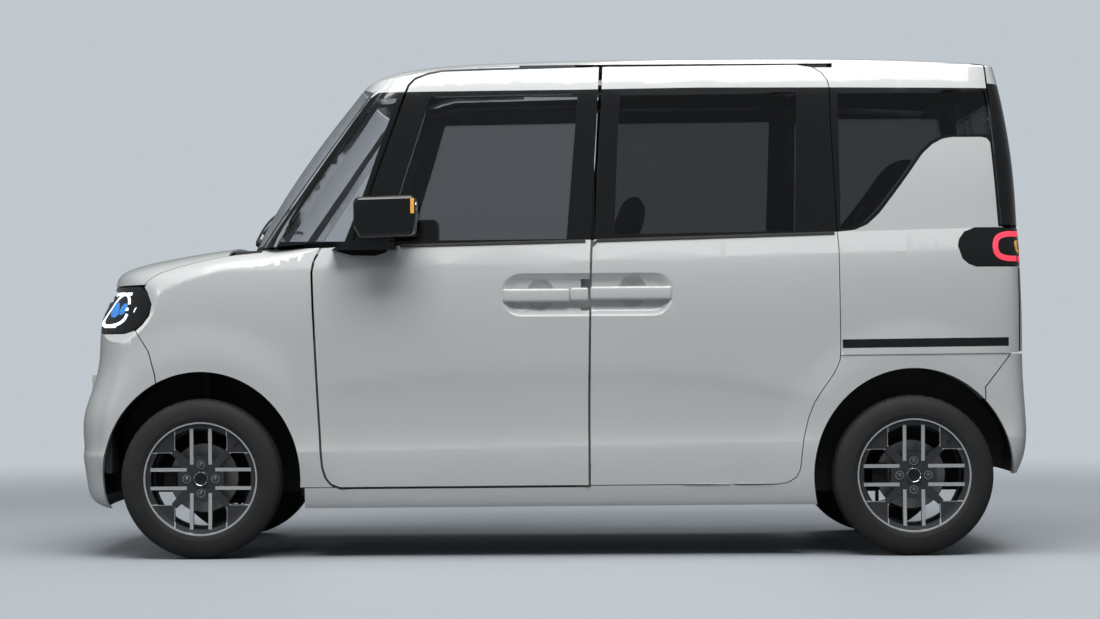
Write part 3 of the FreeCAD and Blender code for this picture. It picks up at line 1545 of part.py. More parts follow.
def make_rear_axle():
    """A torsion beam with trailing arms, springs, stub axles and calipers."""
    x = REAR_WHEEL_X
    front = at_length(TRAILING_FRONT_SHARE)
    beam = Part.makeCylinder(BEAM_RADIUS, 2 * CARRIER_INNER_Y, vec(x, -CARRIER_INNER_Y, AXLE_Z), vec(0, 1, 0))
    outline = [
        (x, AXLE_Z - TRAILING_HALF),
        (x, AXLE_Z + TRAILING_HALF),
        (front, TRAILING_Z + TRAILING_HALF),
        (front, TRAILING_Z - TRAILING_HALF),
    ]
    arm = face_of([vec(px, -TRAILING_Y - TRAILING_HALF, pz) for px, pz in outline]).extrude(
        vec(0, 2 * TRAILING_HALF, 0)
    )
    bush = across_pin(BUSH_RADIUS, front, -TRAILING_Y, TRAILING_Z, TRAILING_HALF)
    hanger = box(
        front - TRAILING_HALF,
        front + TRAILING_HALF,
        -TRAILING_Y - TRAILING_HALF,
        -TRAILING_Y + TRAILING_HALF,
        TRAILING_Z,
        HEIGHT / 2,
    )
    spring = Part.makeCylinder(SPRING_RADIUS, HEIGHT / 2, vec(x - TRAILING_HALF, -TRAILING_Y, AXLE_Z))
    under = box(FRONT_X, REAR_X, -WIDTH, WIDTH, 0, at_height(TUB_SHARES[6][1]))
    near = joined([arm, bush, hanger.common(under), spring.common(under), spindle(x), caliper(x, False)])
    near = near.cut(floor_and_above())
    PARTS["rear_axle"] = joined([beam, near, mirrored(near)])


def floor_and_above():
    """The floor sheet and the cabin over it, which parts below the car stop against."""
    return full_prism(TUB_SHARES, TUB_WALL)


# Cabin
DASH_SHARES = [
    (-0.3030, 0.4300),
    (-0.3030, 0.5900),
    (-0.2950, 0.6030),
    (-0.2500, 0.6090),
    (-0.2080, 0.5960),
    (-0.1890, 0.5600),
    (-0.1900, 0.5050),
    (-0.2060, 0.4500),
    (-0.2400, 0.4280),
]
STEERING_Y = 340.0
STEERING_X = -545.0
STEERING_Z = 1005.0
STEERING_TILT = 27.0
STEERING_RADIUS = 178.0
STEERING_GRIP = 14.0
STEERING_HUB = 52.0
STEERING_HUB_DEPTH = 36.0
COLUMN_RADIUS = 30.0
COLUMN_LENGTH = 190.0
COLUMN_GAP = 5.0
SHAFT_RADIUS = 12.0
SHAFT_LENGTH = 60.0


def column_direction():
    angle = math.radians(STEERING_TILT)
    return vec(math.cos(angle), 0, math.sin(angle))


def make_steering():
    """Steering wheel on its shaft, and the column that the shaft turns in, on the right-hand side."""
    centre = vec(STEERING_X, STEERING_Y, STEERING_Z)
    along = column_direction()
    grip = Part.makeTorus(STEERING_RADIUS, STEERING_GRIP, centre, along)
    hub = Part.makeCylinder(STEERING_HUB, STEERING_HUB_DEPTH, centre - along * STEERING_HUB_DEPTH, along)
    side = vec(0, 1, 0)
    up = along.cross(side)
    spokes = []
    for angle in (0, 180, -90):
        turned = side * math.cos(math.radians(angle)) + up * math.sin(math.radians(angle))
        spokes.append(
            Part.makeCylinder(STEERING_GRIP * 0.8, STEERING_RADIUS, centre - along * STEERING_GRIP, turned)
        )
    shaft_base = centre - along * (STEERING_HUB_DEPTH + SHAFT_LENGTH)
    shaft = Part.makeCylinder(SHAFT_RADIUS, SHAFT_LENGTH + STEERING_GRIP, shaft_base, along)
    PARTS["steering_wheel"] = joined([grip, hub, shaft] + spokes)
    mouth = centre - along * (STEERING_HUB_DEPTH + COLUMN_GAP)
    column = Part.makeCylinder(COLUMN_RADIUS, COLUMN_LENGTH, mouth - along * COLUMN_LENGTH, along)
    bore = Part.makeCylinder(SHAFT_RADIUS + RUNNING_FIT, SHAFT_LENGTH, mouth - along * SHAFT_LENGTH, along)
    PARTS["steering_column"] = column.cut(bore)


def make_dashboard():
    dash = full_prism(DASH_SHARES).common(walled(lower_body, RING_DEPTH + FIT))
    dash = dash.cut([PARTS["floor_pan"], PARTS["cowl"], PARTS["steering_column"]])
    for name in ("wheel_arch_liners_left", "wheel_arch_liners_right", "front_rail_left", "front_rail_right"):
        dash = dash.cut(PARTS[name])
    PARTS["dashboard"] = dash


SEAT_WIDTH = 500.0
SEAT_Y = 300.0
CUSHION_LENGTH = 500.0
CUSHION_DEPTH = 150.0
CUSHION_TOP = 640.0
BACK_DEPTH = 120.0
BACK_HEIGHT = 640.0
BACK_TILT = 14.0
HEADREST_WIDTH = 260.0
HEADREST_HEIGHT = 170.0
HEADREST_DEPTH = 95.0
HEADREST_GAP = 22.0
HEADREST_POST = 6.0
HEADREST_POST_Y = 60.0
SEAT_ROUND = 36.0
FRONT_SEAT_SHARE = -0.1240
REAR_SEAT_SHARE = 0.1500
REAR_BENCH_WIDTH = 1040.0
SEAT_SIDE_ROOM = 60.0


def soft_block(length, width, height, place, tilt):
    """A cushion with rounded edges, leaned back about its lower front edge."""
    block = Part.makeBox(length, width, height, vec(0, -width / 2, 0))
    block = block.makeChamfer(SEAT_ROUND, block.Edges)
    block.rotate(vec(0, 0, 0), vec(0, 1, 0), tilt)
    block.translate(place)
    return block


def seat(front_x, y, width, headrests):
    """Cushion, back and headrests for one seat or bench, as separate solids that lie against each other."""
    base = vec(front_x, y, CUSHION_TOP - CUSHION_DEPTH)
    cushion = soft_block(CUSHION_LENGTH, width, CUSHION_DEPTH, base, 0)
    lean = math.radians(BACK_TILT)
    hinge = vec(front_x + CUSHION_LENGTH + FIT - SEAT_ROUND * math.tan(lean), y, CUSHION_TOP - CUSHION_DEPTH)
    back = soft_block(BACK_DEPTH, width, BACK_HEIGHT, hinge, BACK_TILT)
    rests = []
    for offset in headrests:
        rise = BACK_HEIGHT + HEADREST_GAP
        place = hinge + vec(math.sin(lean) * rise, offset, math.cos(lean) * rise)
        pad = soft_block(HEADREST_DEPTH, HEADREST_WIDTH, HEADREST_HEIGHT, place, BACK_TILT)
        posts = []
        for side in (-HEADREST_POST_Y, HEADREST_POST_Y):
            foot = hinge + vec(
                math.sin(lean) * (BACK_HEIGHT + FIT) + math.cos(lean) * HEADREST_DEPTH / 2,
                offset + side,
                math.cos(lean) * (BACK_HEIGHT + FIT) - math.sin(lean) * HEADREST_DEPTH / 2,
            )
            posts.append(
                Part.makeCylinder(
                    HEADREST_POST, HEADREST_GAP * 2, foot, vec(math.sin(lean), 0, math.cos(lean))
                ),
            )
        rests.append(joined([pad] + posts))
    return cushion, back, rests


def make_seats():
    near = seat(at_length(FRONT_SEAT_SHARE), -SEAT_Y, SEAT_WIDTH, [0])
    far = seat(at_length(FRONT_SEAT_SHARE), SEAT_Y, SEAT_WIDTH, [0])
    bench = seat(at_length(REAR_SEAT_SHARE), 0, REAR_BENCH_WIDTH, [-SEAT_Y, SEAT_Y])
    PARTS["front_seat_cushions"] = Part.makeCompound([near[0], far[0]])
    PARTS["front_seat_backs"] = Part.makeCompound([near[1], far[1]])
    PARTS["rear_seat_cushion"] = bench[0]
    PARTS["rear_seat_back"] = bench[1]
    PARTS["headrests"] = Part.makeCompound(near[2] + far[2] + bench[2])
    bases = []
    for x, y, width in (
        (at_length(FRONT_SEAT_SHARE), -SEAT_Y, SEAT_WIDTH),
        (at_length(FRONT_SEAT_SHARE), SEAT_Y, SEAT_WIDTH),
        (at_length(REAR_SEAT_SHARE), 0, REAR_BENCH_WIDTH),
    ):
        base = box(
            x + SEAT_SIDE_ROOM,
            x + CUSHION_LENGTH,
            y - width / 2 + SEAT_SIDE_ROOM,
            y + width / 2 - SEAT_SIDE_ROOM,
            at_height(TUB_SHARES[3][1]),
            CUSHION_TOP - CUSHION_DEPTH - FIT,
        )
        bases.append(base.cut(PARTS["floor_pan"]).cut(below_floor()))
    PARTS["seat_bases"] = Part.makeCompound(bases)


def below_floor():
    whole = box(FRONT_X, REAR_X, -HALF_WIDTH, HALF_WIDTH, -OVERRUN, at_height(TUB_SHARES[6][1]))
    return whole.cut(full_prism(TUB_SHARES))


# Door mirrors
MIRROR_SHARES = [
    (-0.1974, 0.6950),
    (-0.1932, 0.7025),
    (-0.1373, 0.7053),
    (-0.1343, 0.6952),
    (-0.1341, 0.6700),
    (-0.1370, 0.6275),
    (-0.1909, 0.6235),
    (-0.1971, 0.6465),
]
MIRROR_INNER_Y = 748.0
MIRROR_OUTER_Y = 930.0
MIRROR_ROUND = 16.0
MIRROR_FOOT_SHARES = [
    (-0.2230, 0.6030), (-0.1560, 0.6030), (-0.1560, 0.6100), (-0.1700, 0.6330), (-0.1860, 0.6330)
]
MIRROR_FOOT_INNER_Y = 660.0
MIRROR_FOOT_OUTER_Y = 790.0


def make_mirrors():
    housing = side_prism(MIRROR_SHARES, 0.0, MIRROR_INNER_Y, MIRROR_OUTER_Y)
    housing = housing.makeFillet(MIRROR_ROUND, housing.Edges)
    foot = side_prism(MIRROR_FOOT_SHARES, 0.0, MIRROR_FOOT_INNER_Y, MIRROR_FOOT_OUTER_Y)
    inside = joined([walled(lower_body, -FIT), walled(cabin_body, -FIT)])
    mirror = housing.fuse(foot).cut(inside)
    PARTS["mirror_left"] = mirror
    PARTS["mirror_right"] = mirrored(mirror)


MAKERS = (
    make_front_door,
    make_slide_door,
    make_body_side,
    make_roof,
    make_fixed_glass,
    make_bonnet,
    make_front_skin,
    make_tailgate,
    make_tail,
    make_cowl,
    make_floor,
    make_liners,
    make_front_chassis,
    make_engine,
    make_wheels,
    make_knuckles,
    make_rear_axle,
    make_steering,
    make_dashboard,
    make_seats,
    make_mirrors,
)


def main():
    os.makedirs("parts", exist_ok=True)
    for make in MAKERS:
        make()
    for name, shape in PARTS.items():
        shape.exportStep("parts/%s.step" % name)


if __name__ == "__main__":
    main()
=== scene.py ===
"""Looks of a small tall-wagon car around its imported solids. X runs to the rear, Y to the right, Z up."""
import json
import math

import bmesh
import bpy
from bpy.props import FloatProperty, FloatVectorProperty, PointerProperty
from mathutils import Matrix, Vector
from mathutils.bvhtree import BVHTree


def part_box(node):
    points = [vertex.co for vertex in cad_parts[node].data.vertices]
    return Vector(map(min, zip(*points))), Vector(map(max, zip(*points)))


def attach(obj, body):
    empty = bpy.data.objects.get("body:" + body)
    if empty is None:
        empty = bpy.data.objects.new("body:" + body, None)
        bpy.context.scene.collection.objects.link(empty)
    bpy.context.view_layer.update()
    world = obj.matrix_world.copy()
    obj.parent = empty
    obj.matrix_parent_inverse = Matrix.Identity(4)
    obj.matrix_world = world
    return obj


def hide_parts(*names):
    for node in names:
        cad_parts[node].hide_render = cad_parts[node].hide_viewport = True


bl_info = {
    "name": "Small Tall Wagon",
    "version": (1, 0, 0),
    "blender": (4, 5, 0),
    "location": "View3D > Sidebar > Car",
    "description": "Paint, glass, wheels, lamps and cabin of a small tall-wagon car",
    "category": "Object",
}

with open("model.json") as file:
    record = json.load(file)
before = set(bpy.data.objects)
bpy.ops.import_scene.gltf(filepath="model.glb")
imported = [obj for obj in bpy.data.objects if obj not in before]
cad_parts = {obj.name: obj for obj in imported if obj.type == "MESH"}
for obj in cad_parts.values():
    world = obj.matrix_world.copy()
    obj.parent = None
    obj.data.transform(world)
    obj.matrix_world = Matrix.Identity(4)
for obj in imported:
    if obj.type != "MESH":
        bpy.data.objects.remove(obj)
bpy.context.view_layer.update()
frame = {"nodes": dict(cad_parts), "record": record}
NODES = frame["nodes"]
SIDES = (("left", -1), ("right", 1))
ENDS = ("front", "rear")

# Lines of the side, as length against height in metres
BELT_LINE = [(-1.10, 1.084), (-0.76, 1.091), (-0.52, 1.097), (0.14, 1.111), (0.53, 1.121), (1.01, 1.134)]
KICK_LINE = BELT_LINE + [
    *((1.071, 1.140), (1.117, 1.160), (1.159, 1.199), (1.211, 1.266), (1.263, 1.336), (1.315, 1.410)),
    *((1.350, 1.442), (1.385, 1.461), (1.420, 1.467), (1.526, 1.467), (1.548, 1.461), (1.560, 1.436)),
    *((1.572, 1.150), (1.640, 1.148)),
]
ROOF_LINE = [
    *((-1.10, 1.60), (-0.66, 1.60), (-0.60, 1.640), (0.10, 1.645)),
    *((0.53, 1.650), (1.00, 1.648), (1.64, 1.642)),
]
TAIL_GLASS = (1.150, 1.66)

# Colours that several pieces or lights share
BACKDROP = (0.53, 0.58, 0.62)
PAINT_WHITE = (0.71, 0.72, 0.715)
FLOOR_GREY = (0.52, 0.56, 0.60)
GLASS_BLACK = (0.007, 0.0075, 0.008)
TRIM_GREY = (0.028, 0.029, 0.031)


# Shader maths
class Value:
    """A shader socket that the usual operators work on."""

    def __init__(self, finish, socket):
        self.finish = finish
        self.socket = socket

    def math(self, operation, *others):
        inputs = dict(enumerate((self,) + others))
        made = self.finish.node("ShaderNodeMath", {"operation": operation}, inputs)
        return Value(self.finish, made.outputs[0])

    def __add__(self, other):
        return self.math("ADD", other)

    def __sub__(self, other):
        return self.math("SUBTRACT", other)

    def __rsub__(self, other):
        return (self * -1.0) + other

    def __mul__(self, other):
        return self.math("MULTIPLY", other)

    __rmul__ = __mul__

    def __truediv__(self, other):
        return self.math("DIVIDE", other)

    def __gt__(self, other):
        return self.math("GREATER_THAN", other)

    def __lt__(self, other):
        return self.math("LESS_THAN", other)

    def __abs__(self):
        return self.math("ABSOLUTE")

    def least(self, other):
        return self.math("MINIMUM", other)

    def most(self, other):
        return self.math("MAXIMUM", other)

    def between(self, low, high):
        return (self > low) * (self < high)


class Finish:
    """A node material that is built up around one surface shader."""

    def __init__(self, name, color, **sockets):
        self.material = bpy.data.materials.new(name)
        self.material.use_nodes = True
        self.tree = self.material.node_tree
        self.shader = self.tree.nodes["Principled BSDF"]
        self.shader.inputs["Base Color"].default_value = (*color, 1.0)
        for name_of, value in sockets.items():
            self.shader.inputs[name_of.replace("_", " ")].default_value = value

    def node(self, kind, settings=None, inputs=None):
        made = self.tree.nodes.new(kind)
        for key, value in (settings or {}).items():
            if key == "stops":
                self.set_stops(made.color_ramp, value)
            else:
                setattr(made, key, value)
        for key, value in (inputs or {}).items():
            if isinstance(value, Value):
                self.tree.links.new(value.socket, made.inputs[key])
            else:
                made.inputs[key].default_value = value
        return made

    @staticmethod
    def set_stops(ramp, stops):
        ramp.interpolation = "LINEAR"
        while len(ramp.elements) < len(stops):
            ramp.elements.new(1.0)
        for element, (place, grey) in zip(ramp.elements, stops):
            element.position = place
            element.color = (grey, grey, grey, 1.0)

    def place(self, kind="Object"):
        """Length, width and height of the shaded point, or of its normal."""
        source = self.node("ShaderNodeTexCoord")
        split = self.node("ShaderNodeSeparateXYZ", None, {0: Value(self, source.outputs[kind])})
        return [Value(self, split.outputs[k]) for k in range(3)]

    def object_point(self):
        return Value(self, self.node("ShaderNodeTexCoord").outputs["Object"])

    def line(self, x, points):
        """The height of a line of (length, height) points at length x."""
        first, last = points[0][0], points[-1][0]
        low = min(h for _, h in points)
        high = max(h for _, h in points)
        stops = [((px - first) / (last - first), (h - low) / (high - low)) for px, h in points]
        ramp = self.node("ShaderNodeValToRGB", {"stops": stops}, {0: (x - first) / (last - first)})
        return Value(self, ramp.outputs[0]) * (high - low) + low

    def mix(self, factor, first, second):
        inputs = {0: factor, 6: self.color(first), 7: self.color(second)}
        made = self.node("ShaderNodeMix", {"data_type": "RGBA"}, inputs)
        return Value(self, made.outputs[2])

    @staticmethod
    def color(value):
        return value if isinstance(value, Value) else (*value[:3], 1.0)

    def noise(self, scale, detail=3.0):
        inputs = {"Vector": self.object_point(), "Scale": scale, "Detail": detail, "Roughness": 0.5}
        return Value(self, self.node("ShaderNodeTexNoise", None, inputs).outputs[0])

    def grain(self, scale):
        inputs = {"Vector": self.object_point(), "Scale": scale}
        return Value(self, self.node("ShaderNodeTexVoronoi", None, inputs).outputs["Distance"])

    def bump(self, height, strength, distance):
        inputs = {"Strength": strength, "Distance": distance, "Height": height}
        self.feed("Normal", Value(self, self.node("ShaderNodeBump", None, inputs).outputs[0]))

    def feed(self, socket, value):
        self.tree.links.new(value.socket, self.shader.inputs[socket])


def shade(color, factor):
    """A colour made darker or lighter."""
    return tuple(min(1.0, c * factor) for c in color)


def pearl_paint(name, black_zone=None, inside=None):
    """White pearl under clear coat, with optional masks for gloss black and for cabin trim."""
    white = tuple(bpy.context.scene.car_shades.paint)
    finish = Finish(name, white, Metallic=0.0, Coat_Weight=0.8, Coat_Roughness=0.03)
    flake = finish.noise(1400.0, 1.0)
    cloud = finish.noise(2.2, 2.0)
    tint = finish.mix(flake * 0.5 + cloud * 0.5, shade(white, 0.955), shade(white, 1.03))
    rough = finish.noise(3.0) * 0.08 + 0.30
    if black_zone:
        mask = black_zone(finish)
        tint = finish.mix(mask, tint, GLASS_BLACK)
        rough = rough - mask * 0.2
    if inside:
        hidden = inside(finish)
        tint = finish.mix(hidden, tint, TRIM_GREY)
        rough = rough + hidden * 0.35
    finish.feed("Base Color", tint)
    finish.feed("Roughness", rough)
    return finish.material


def side_black(finish):
    """The black band round the side windows, which drops behind the last window."""
    x, _, z = finish.place()
    return (z > finish.line(x, KICK_LINE)) * (z < finish.line(x, ROOF_LINE))


def tail_black(finish):
    """The black pane and frame of the tailgate's upper half."""
    _, _, z = finish.place()
    return z.between(*TAIL_GLASS)


def facing_in(finish):
    """1 on faces that look towards the middle of the car."""
    _, y, _ = finish.place()
    _, normal_y, _ = finish.place("Normal")
    return ((normal_y * y.math("SIGN")) < -0.35) * (abs(y) < 0.71)


def facing_down(finish):
    return finish.place("Normal")[2] < -0.45


def facing_front(finish):
    return finish.place("Normal")[0] < -0.45


def tinted_glass(name, tint):
    finish = Finish(name, (*[tint] * 2, tint * 1.02), Roughness=0.0, IOR=1.45, Transmission_Weight=1.0)
    haze = finish.noise(6.0) * 0.01
    finish.feed("Roughness", haze)
    return finish.material


def gloss_black(name, roughness=0.08):
    finish = Finish(name, (0.010, 0.010, 0.011), Coat_Weight=0.6, Coat_Roughness=0.03)
    finish.feed("Roughness", finish.noise(9.0) * 0.05 + roughness)
    return finish.material


def grained_plastic(name, color, scale=900.0, strength=0.25):
    finish = Finish(name, color)
    speck = finish.noise(60.0)
    finish.feed("Base Color", finish.mix(speck, shade(color, 0.85), shade(color, 1.2)))
    finish.feed("Roughness", finish.noise(40.0) * 0.15 + 0.5)
    finish.bump(finish.grain(scale), strength, 0.0004)
    return finish.material


def rubber(name):
    finish = Finish(name, (0.018, 0.018, 0.019))
    dust = finish.noise(14.0)
    finish.feed("Base Color", finish.mix(dust, (0.011, 0.011, 0.012), (0.028, 0.028, 0.028)))
    finish.feed("Roughness", finish.noise(30.0) * 0.2 + 0.62)
    finish.bump(finish.noise(500.0), 0.15, 0.0005)
    return finish.material


def metal(name, color, roughness):
    finish = Finish(name, color, Metallic=1.0)
    finish.feed("Roughness", finish.noise(70.0) * 0.12 + roughness)
    return finish.material


def underbody_coat(name):
    finish = Finish(name, (0.02, 0.02, 0.021))
    finish.feed("Base Color", finish.mix(finish.noise(9.0), (0.013, 0.013, 0.014), (0.035, 0.033, 0.031)))
    finish.feed("Roughness", finish.noise(20.0) * 0.2 + 0.6)
    finish.bump(finish.noise(160.0), 0.3, 0.002)
    return finish.material


def wheel_centre(end, side):
    low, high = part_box("tyre_%s_%s" % (end, side))
    return (Vector(low) + Vector(high)) / 2


def wheels():
    """Each wheel's label, outward sign and centre."""
    for end in ENDS:
        for side, sign in SIDES:
            yield "%s_%s" % (end, side), sign, wheel_centre(end, side)


# The wheel's turned faces: how far out they start, and spans from its axis
RIM_FACE = 0.050
BAR_WIDTH, BAR_LENGTH = (0.0262, 0.0385), (0.050, 0.176)
SLOT_WIDTH, SLOT_LENGTH = (0.0885, 0.0925), (0.100, 0.176)
RING_WIDTH = (0.1925, 0.2040)
DISC_SWEPT = (0.075, 0.120)


def wheel_finish(name, centre, sign):
    """Dark grey castings whose bars and outer ring are turned bright."""
    finish = Finish(name, (0.06, 0.062, 0.066), Coat_Weight=0.4, Coat_Roughness=0.1)
    x, y, z = finish.place()
    across = abs(x - centre.x)
    up = abs(z - centre.z)
    low = across.least(up)
    high = across.most(up)
    radius = (across * across + up * up).math("SQRT")
    outer = (y * sign) > abs(centre.y) + RIM_FACE
    bars = low.between(*BAR_WIDTH) * high.between(*BAR_LENGTH)
    slots = low.between(*SLOT_WIDTH) * high.between(*SLOT_LENGTH)
    ring = radius.between(*RING_WIDTH)
    bright = (bars.most(ring).most(slots)) * outer
    brushed = finish.noise(260.0)
    turned = finish.mix(brushed, (0.58, 0.59, 0.60), (0.72, 0.73, 0.74))
    finish.feed("Base Color", finish.mix(bright, (0.045, 0.047, 0.051), turned))
    finish.feed("Metallic", bright * 0.20 + 0.25)
    finish.feed("Roughness", 0.42 - bright * 0.04 + brushed * 0.06)
    return finish.material


def disc_finish(name, centre):
    finish = Finish(name, (0.3, 0.3, 0.3), Metallic=0.9)
    x, _, z = finish.place()
    radius = ((x - centre.x) * (x - centre.x) + (z - centre.z) * (z - centre.z)).math("SQRT")
    rings = (radius * 3200.0).math("SINE")
    swept = radius.between(*DISC_SWEPT)
    finish.feed("Base Color", finish.mix(swept, (0.11, 0.085, 0.07), (0.42, 0.41, 0.40)))
    finish.feed("Roughness", rings * 0.05 + 0.33)
    return finish.material


def woven_cloth(name, color):
    """A plain weave on a piece's own surface, with a softer sheen."""
    threads = 2100.0
    finish = Finish(name, color, Sheen_Weight=0.3, Roughness=0.85)
    x, y, z = finish.place()
    warp = ((x + z) * threads).math("SINE")
    weft = ((y + z * 0.5) * threads).math("SINE")
    weave = warp * weft * 0.5 + 0.5
    finish.feed("Base Color", finish.mix(weave, shade(color, 0.7), shade(color, 1.35)))
    finish.feed("Roughness", finish.noise(60.0) * 0.1 + 0.8)
    finish.bump(weave, 0.3, 0.0006)
    return finish.material


def light_strip(name, color, strength):
    finish = Finish(name, color, Emission_Strength=strength, Roughness=0.2)
    finish.feed("Emission Color", finish.mix(finish.noise(120.0), shade(color, 0.92), color))
    return finish.material


# Each finish's maker and values
FINISH_TABLE = {
    "pearl_paint": (pearl_paint,),
    "side_paint": (pearl_paint, side_black, facing_in),
    "tail_paint": (pearl_paint, tail_black, facing_front),
    "roof_paint": (pearl_paint, None, facing_down),
    "screen_glass": (tinted_glass, 0.74),
    "front_glass": (tinted_glass, 0.38),
    "privacy_glass": (tinted_glass, 0.24),
    "gloss_black": (gloss_black,),
    "smoked_lens": (gloss_black, 0.02),
    "black_plastic": (grained_plastic, (0.020, 0.020, 0.021)),
    "cabin_plastic": (grained_plastic, (0.035, 0.035, 0.038)),
    "pale_plastic": (grained_plastic, (0.42, 0.41, 0.39)),
    "plate_white": (grained_plastic, (0.78, 0.78, 0.76), 300.0, 0.05),
    "rubber": (rubber,),
    "underbody_coat": (underbody_coat,),
    "bright_metal": (metal, (0.72, 0.72, 0.73), 0.12),
    "steel": (metal, (0.32, 0.32, 0.33), 0.35),
    "mirror_face": (metal, (0.85, 0.86, 0.87), 0.0),
    "seat_cloth": (woven_cloth, (0.055, 0.055, 0.06)),
    "white_light": (light_strip, (0.85, 0.93, 1.0), 1.6),
    "blue_glow": (light_strip, (0.05, 0.22, 0.62), 0.55),
    "red_light": (light_strip, (0.95, 0.06, 0.10), 0.75),
    # The reflectors glow a little: painted light, since a reflector is no lamp
    "red_glass": (light_strip, (0.45, 0.01, 0.015), 0.12),
    "amber_lens": (light_strip, (0.85, 0.42, 0.08), 0.35),
}
FINISHES = {}


def finish_of(name):
    """One shared material for each named finish."""
    if name not in FINISHES:
        maker, *values = FINISH_TABLE[name]
        FINISHES[name] = maker(name, *values)
    return FINISHES[name]


# The finish of each CAD node, or else of its material slot
NODE_FINISHES = {
    "side_paint": [
        *("front_door_left", "front_door_right", "sliding_door_left", "sliding_door_right"),
        *("body_side_left", "body_side_right"),
    ],
    "pearl_paint": ["bonnet", "front_fenders", "front_bumper", "rear_bumper"],
    "roof_paint": ["roof"],
    "tail_paint": ["tailgate"],
    "screen_glass": ["windscreen", "corner_windows"],
    "front_glass": ["front_door_glass_left", "front_door_glass_right"],
    "privacy_glass": ["sliding_door_glass", "quarter_windows", "tailgate_glass"],
    "gloss_black": ["mirror_left", "mirror_right", "grille"],
    "smoked_lens": ["headlamps", "tail_lamps"],
    "black_plastic": ["cowl", "wheel_arch_liners_left", "wheel_arch_liners_right", "tailgate_frame"],
    "cabin_plastic": ["steering_column", "dashboard", "steering_wheel", "seat_bases", "floor_pan"],
}
SLOT_FINISHES = {"chassis": "underbody_coat", "cloth": "seat_cloth", "tyre": "rubber"}


# Making pieces
def new_piece(shape, name, body, finish, sharp=35.0):
    """Turns a bmesh into a piece that rides on a body, smooth but for its sharp edges."""
    bmesh.ops.remove_doubles(shape, verts=shape.verts[:], dist=0.00001)
    bmesh.ops.recalc_face_normals(shape, faces=shape.faces[:])
    limit = math.radians(sharp)
    for edge in shape.edges:
        edge.smooth = len(edge.link_faces) == 2 and edge.calc_face_angle(0.0) < limit
    for face in shape.faces:
        face.smooth = True
    mesh = bpy.data.meshes.new(name)
    shape.to_mesh(mesh)
    shape.free()
    piece = bpy.data.objects.new(name, mesh)
    bpy.context.scene.collection.objects.link(piece)
    mesh.materials.append(finish_of(finish))
    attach(piece, body)
    return piece


def merged(*shapes):
    """One bmesh from several."""
    whole = bmesh.new()
    for shape in shapes:
        mesh = bpy.data.meshes.new("part")
        shape.to_mesh(mesh)
        shape.free()
        whole.from_mesh(mesh)
        bpy.data.meshes.remove(mesh)
    return whole


def rounded_box(low, high, radius, segments):
    shape = bmesh.new()
    low, high = Vector(low), Vector(high)
    size = high - low
    middle = (low + high) / 2
    bmesh.ops.create_cube(shape, size=1.0, matrix=Matrix.Translation(middle) @ Matrix.Diagonal((*size, 1.0)))
    bevel = {"offset": radius, "segments": segments, "profile": 0.5, "affect": "EDGES"}
    bmesh.ops.bevel(shape, geom=shape.edges[:], material=-1, clamp_overlap=True, **bevel)
    return shape


def turned(profile, centre, axis, steps):
    """A profile of (radius, distance along the axis) points, spun once round."""
    shape = bmesh.new()
    axis = Vector(axis).normalized()
    side = axis.orthogonal().normalized()
    verts = [shape.verts.new(Vector(centre) + side * r + axis * d) for r, d in profile]
    edges = [shape.edges.new(pair) for pair in zip(verts, verts[1:])]
    geom = verts + edges
    bmesh.ops.spin(shape, geom=geom, cent=centre, axis=axis, angle=math.tau, steps=steps, use_merge=True)
    bmesh.ops.remove_doubles(shape, verts=shape.verts[:], dist=0.000005)
    return shape


# The shaped pieces that stand in for CAD nodes, and how trim is laid on them
SHAPED = {}
SINK = 0.0006
PATCH_RINGS = 3
CORNER_CUTS = 3


def skin_tree(*names):
    """A search tree over the meshes of CAD nodes, or over the shaped pieces in their place."""
    points, faces = [], []
    for name in names:
        mesh = SHAPED[name].data if name in SHAPED else NODES[name].data
        base = len(points)
        points.extend(v.co.copy() for v in mesh.vertices)
        faces.extend([base + k for k in p.vertices] for p in mesh.polygons)
    return BVHTree.FromPolygons(points, faces)


class Skin:
    """The outer surface of some CAD nodes, looked up from a side, an end or above."""

    def __init__(self, *names):
        self.tree = skin_tree(*names)

    def look(self, start, inward, near):
        """The point and normal that a ray from outside meets, or else the point nearest to a guess."""
        point, normal, _, _ = self.tree.ray_cast(Vector(start), Vector(inward))
        if point is None:
            return self.tree.find_nearest(Vector(near))[0], -Vector(inward)
        return point, normal

    def side(self, sign):
        return lambda x, z: self.look((x, sign * 1.2, z), (0, -sign, 0), (x, sign * 0.75, z))

    def end(self, sign):
        return lambda y, z: self.look((sign * 2.2, y, z), (-sign, 0, 0), (sign * 1.7, y, z))

    def top(self):
        return lambda x, y: self.look((x, y, 2.2), (0, 0, -1), (x, y, 1.7))


def along(path, share):
    """The point and direction at a share of a path's length."""
    lengths = [math.dist(a, b) for a, b in zip(path, path[1:])]
    target = share * sum(lengths)
    for (a, b), length in zip(zip(path, path[1:]), lengths):
        if target <= length or (b is path[-1]):
            t = min(1.0, target / length)
            direction = ((b[0] - a[0]) / length, (b[1] - a[1]) / length)
            return (a[0] + (b[0] - a[0]) * t, a[1] + (b[1] - a[1]) * t), direction
        target -= length
    return path[-1], (1.0, 0.0)


def smooth_path(points):
    """Corners cut a few times, which turns a coarse open path into a smooth one."""
    for _ in range(CORNER_CUTS):
        cut = [points[0]]
        for a, b in zip(points, points[1:]):
            cut.append((a[0] * 0.75 + b[0] * 0.25, a[1] * 0.75 + b[1] * 0.25))
            cut.append((a[0] * 0.25 + b[0] * 0.75, a[1] * 0.25 + b[1] * 0.75))
        points = cut + [points[-1]]
    return points


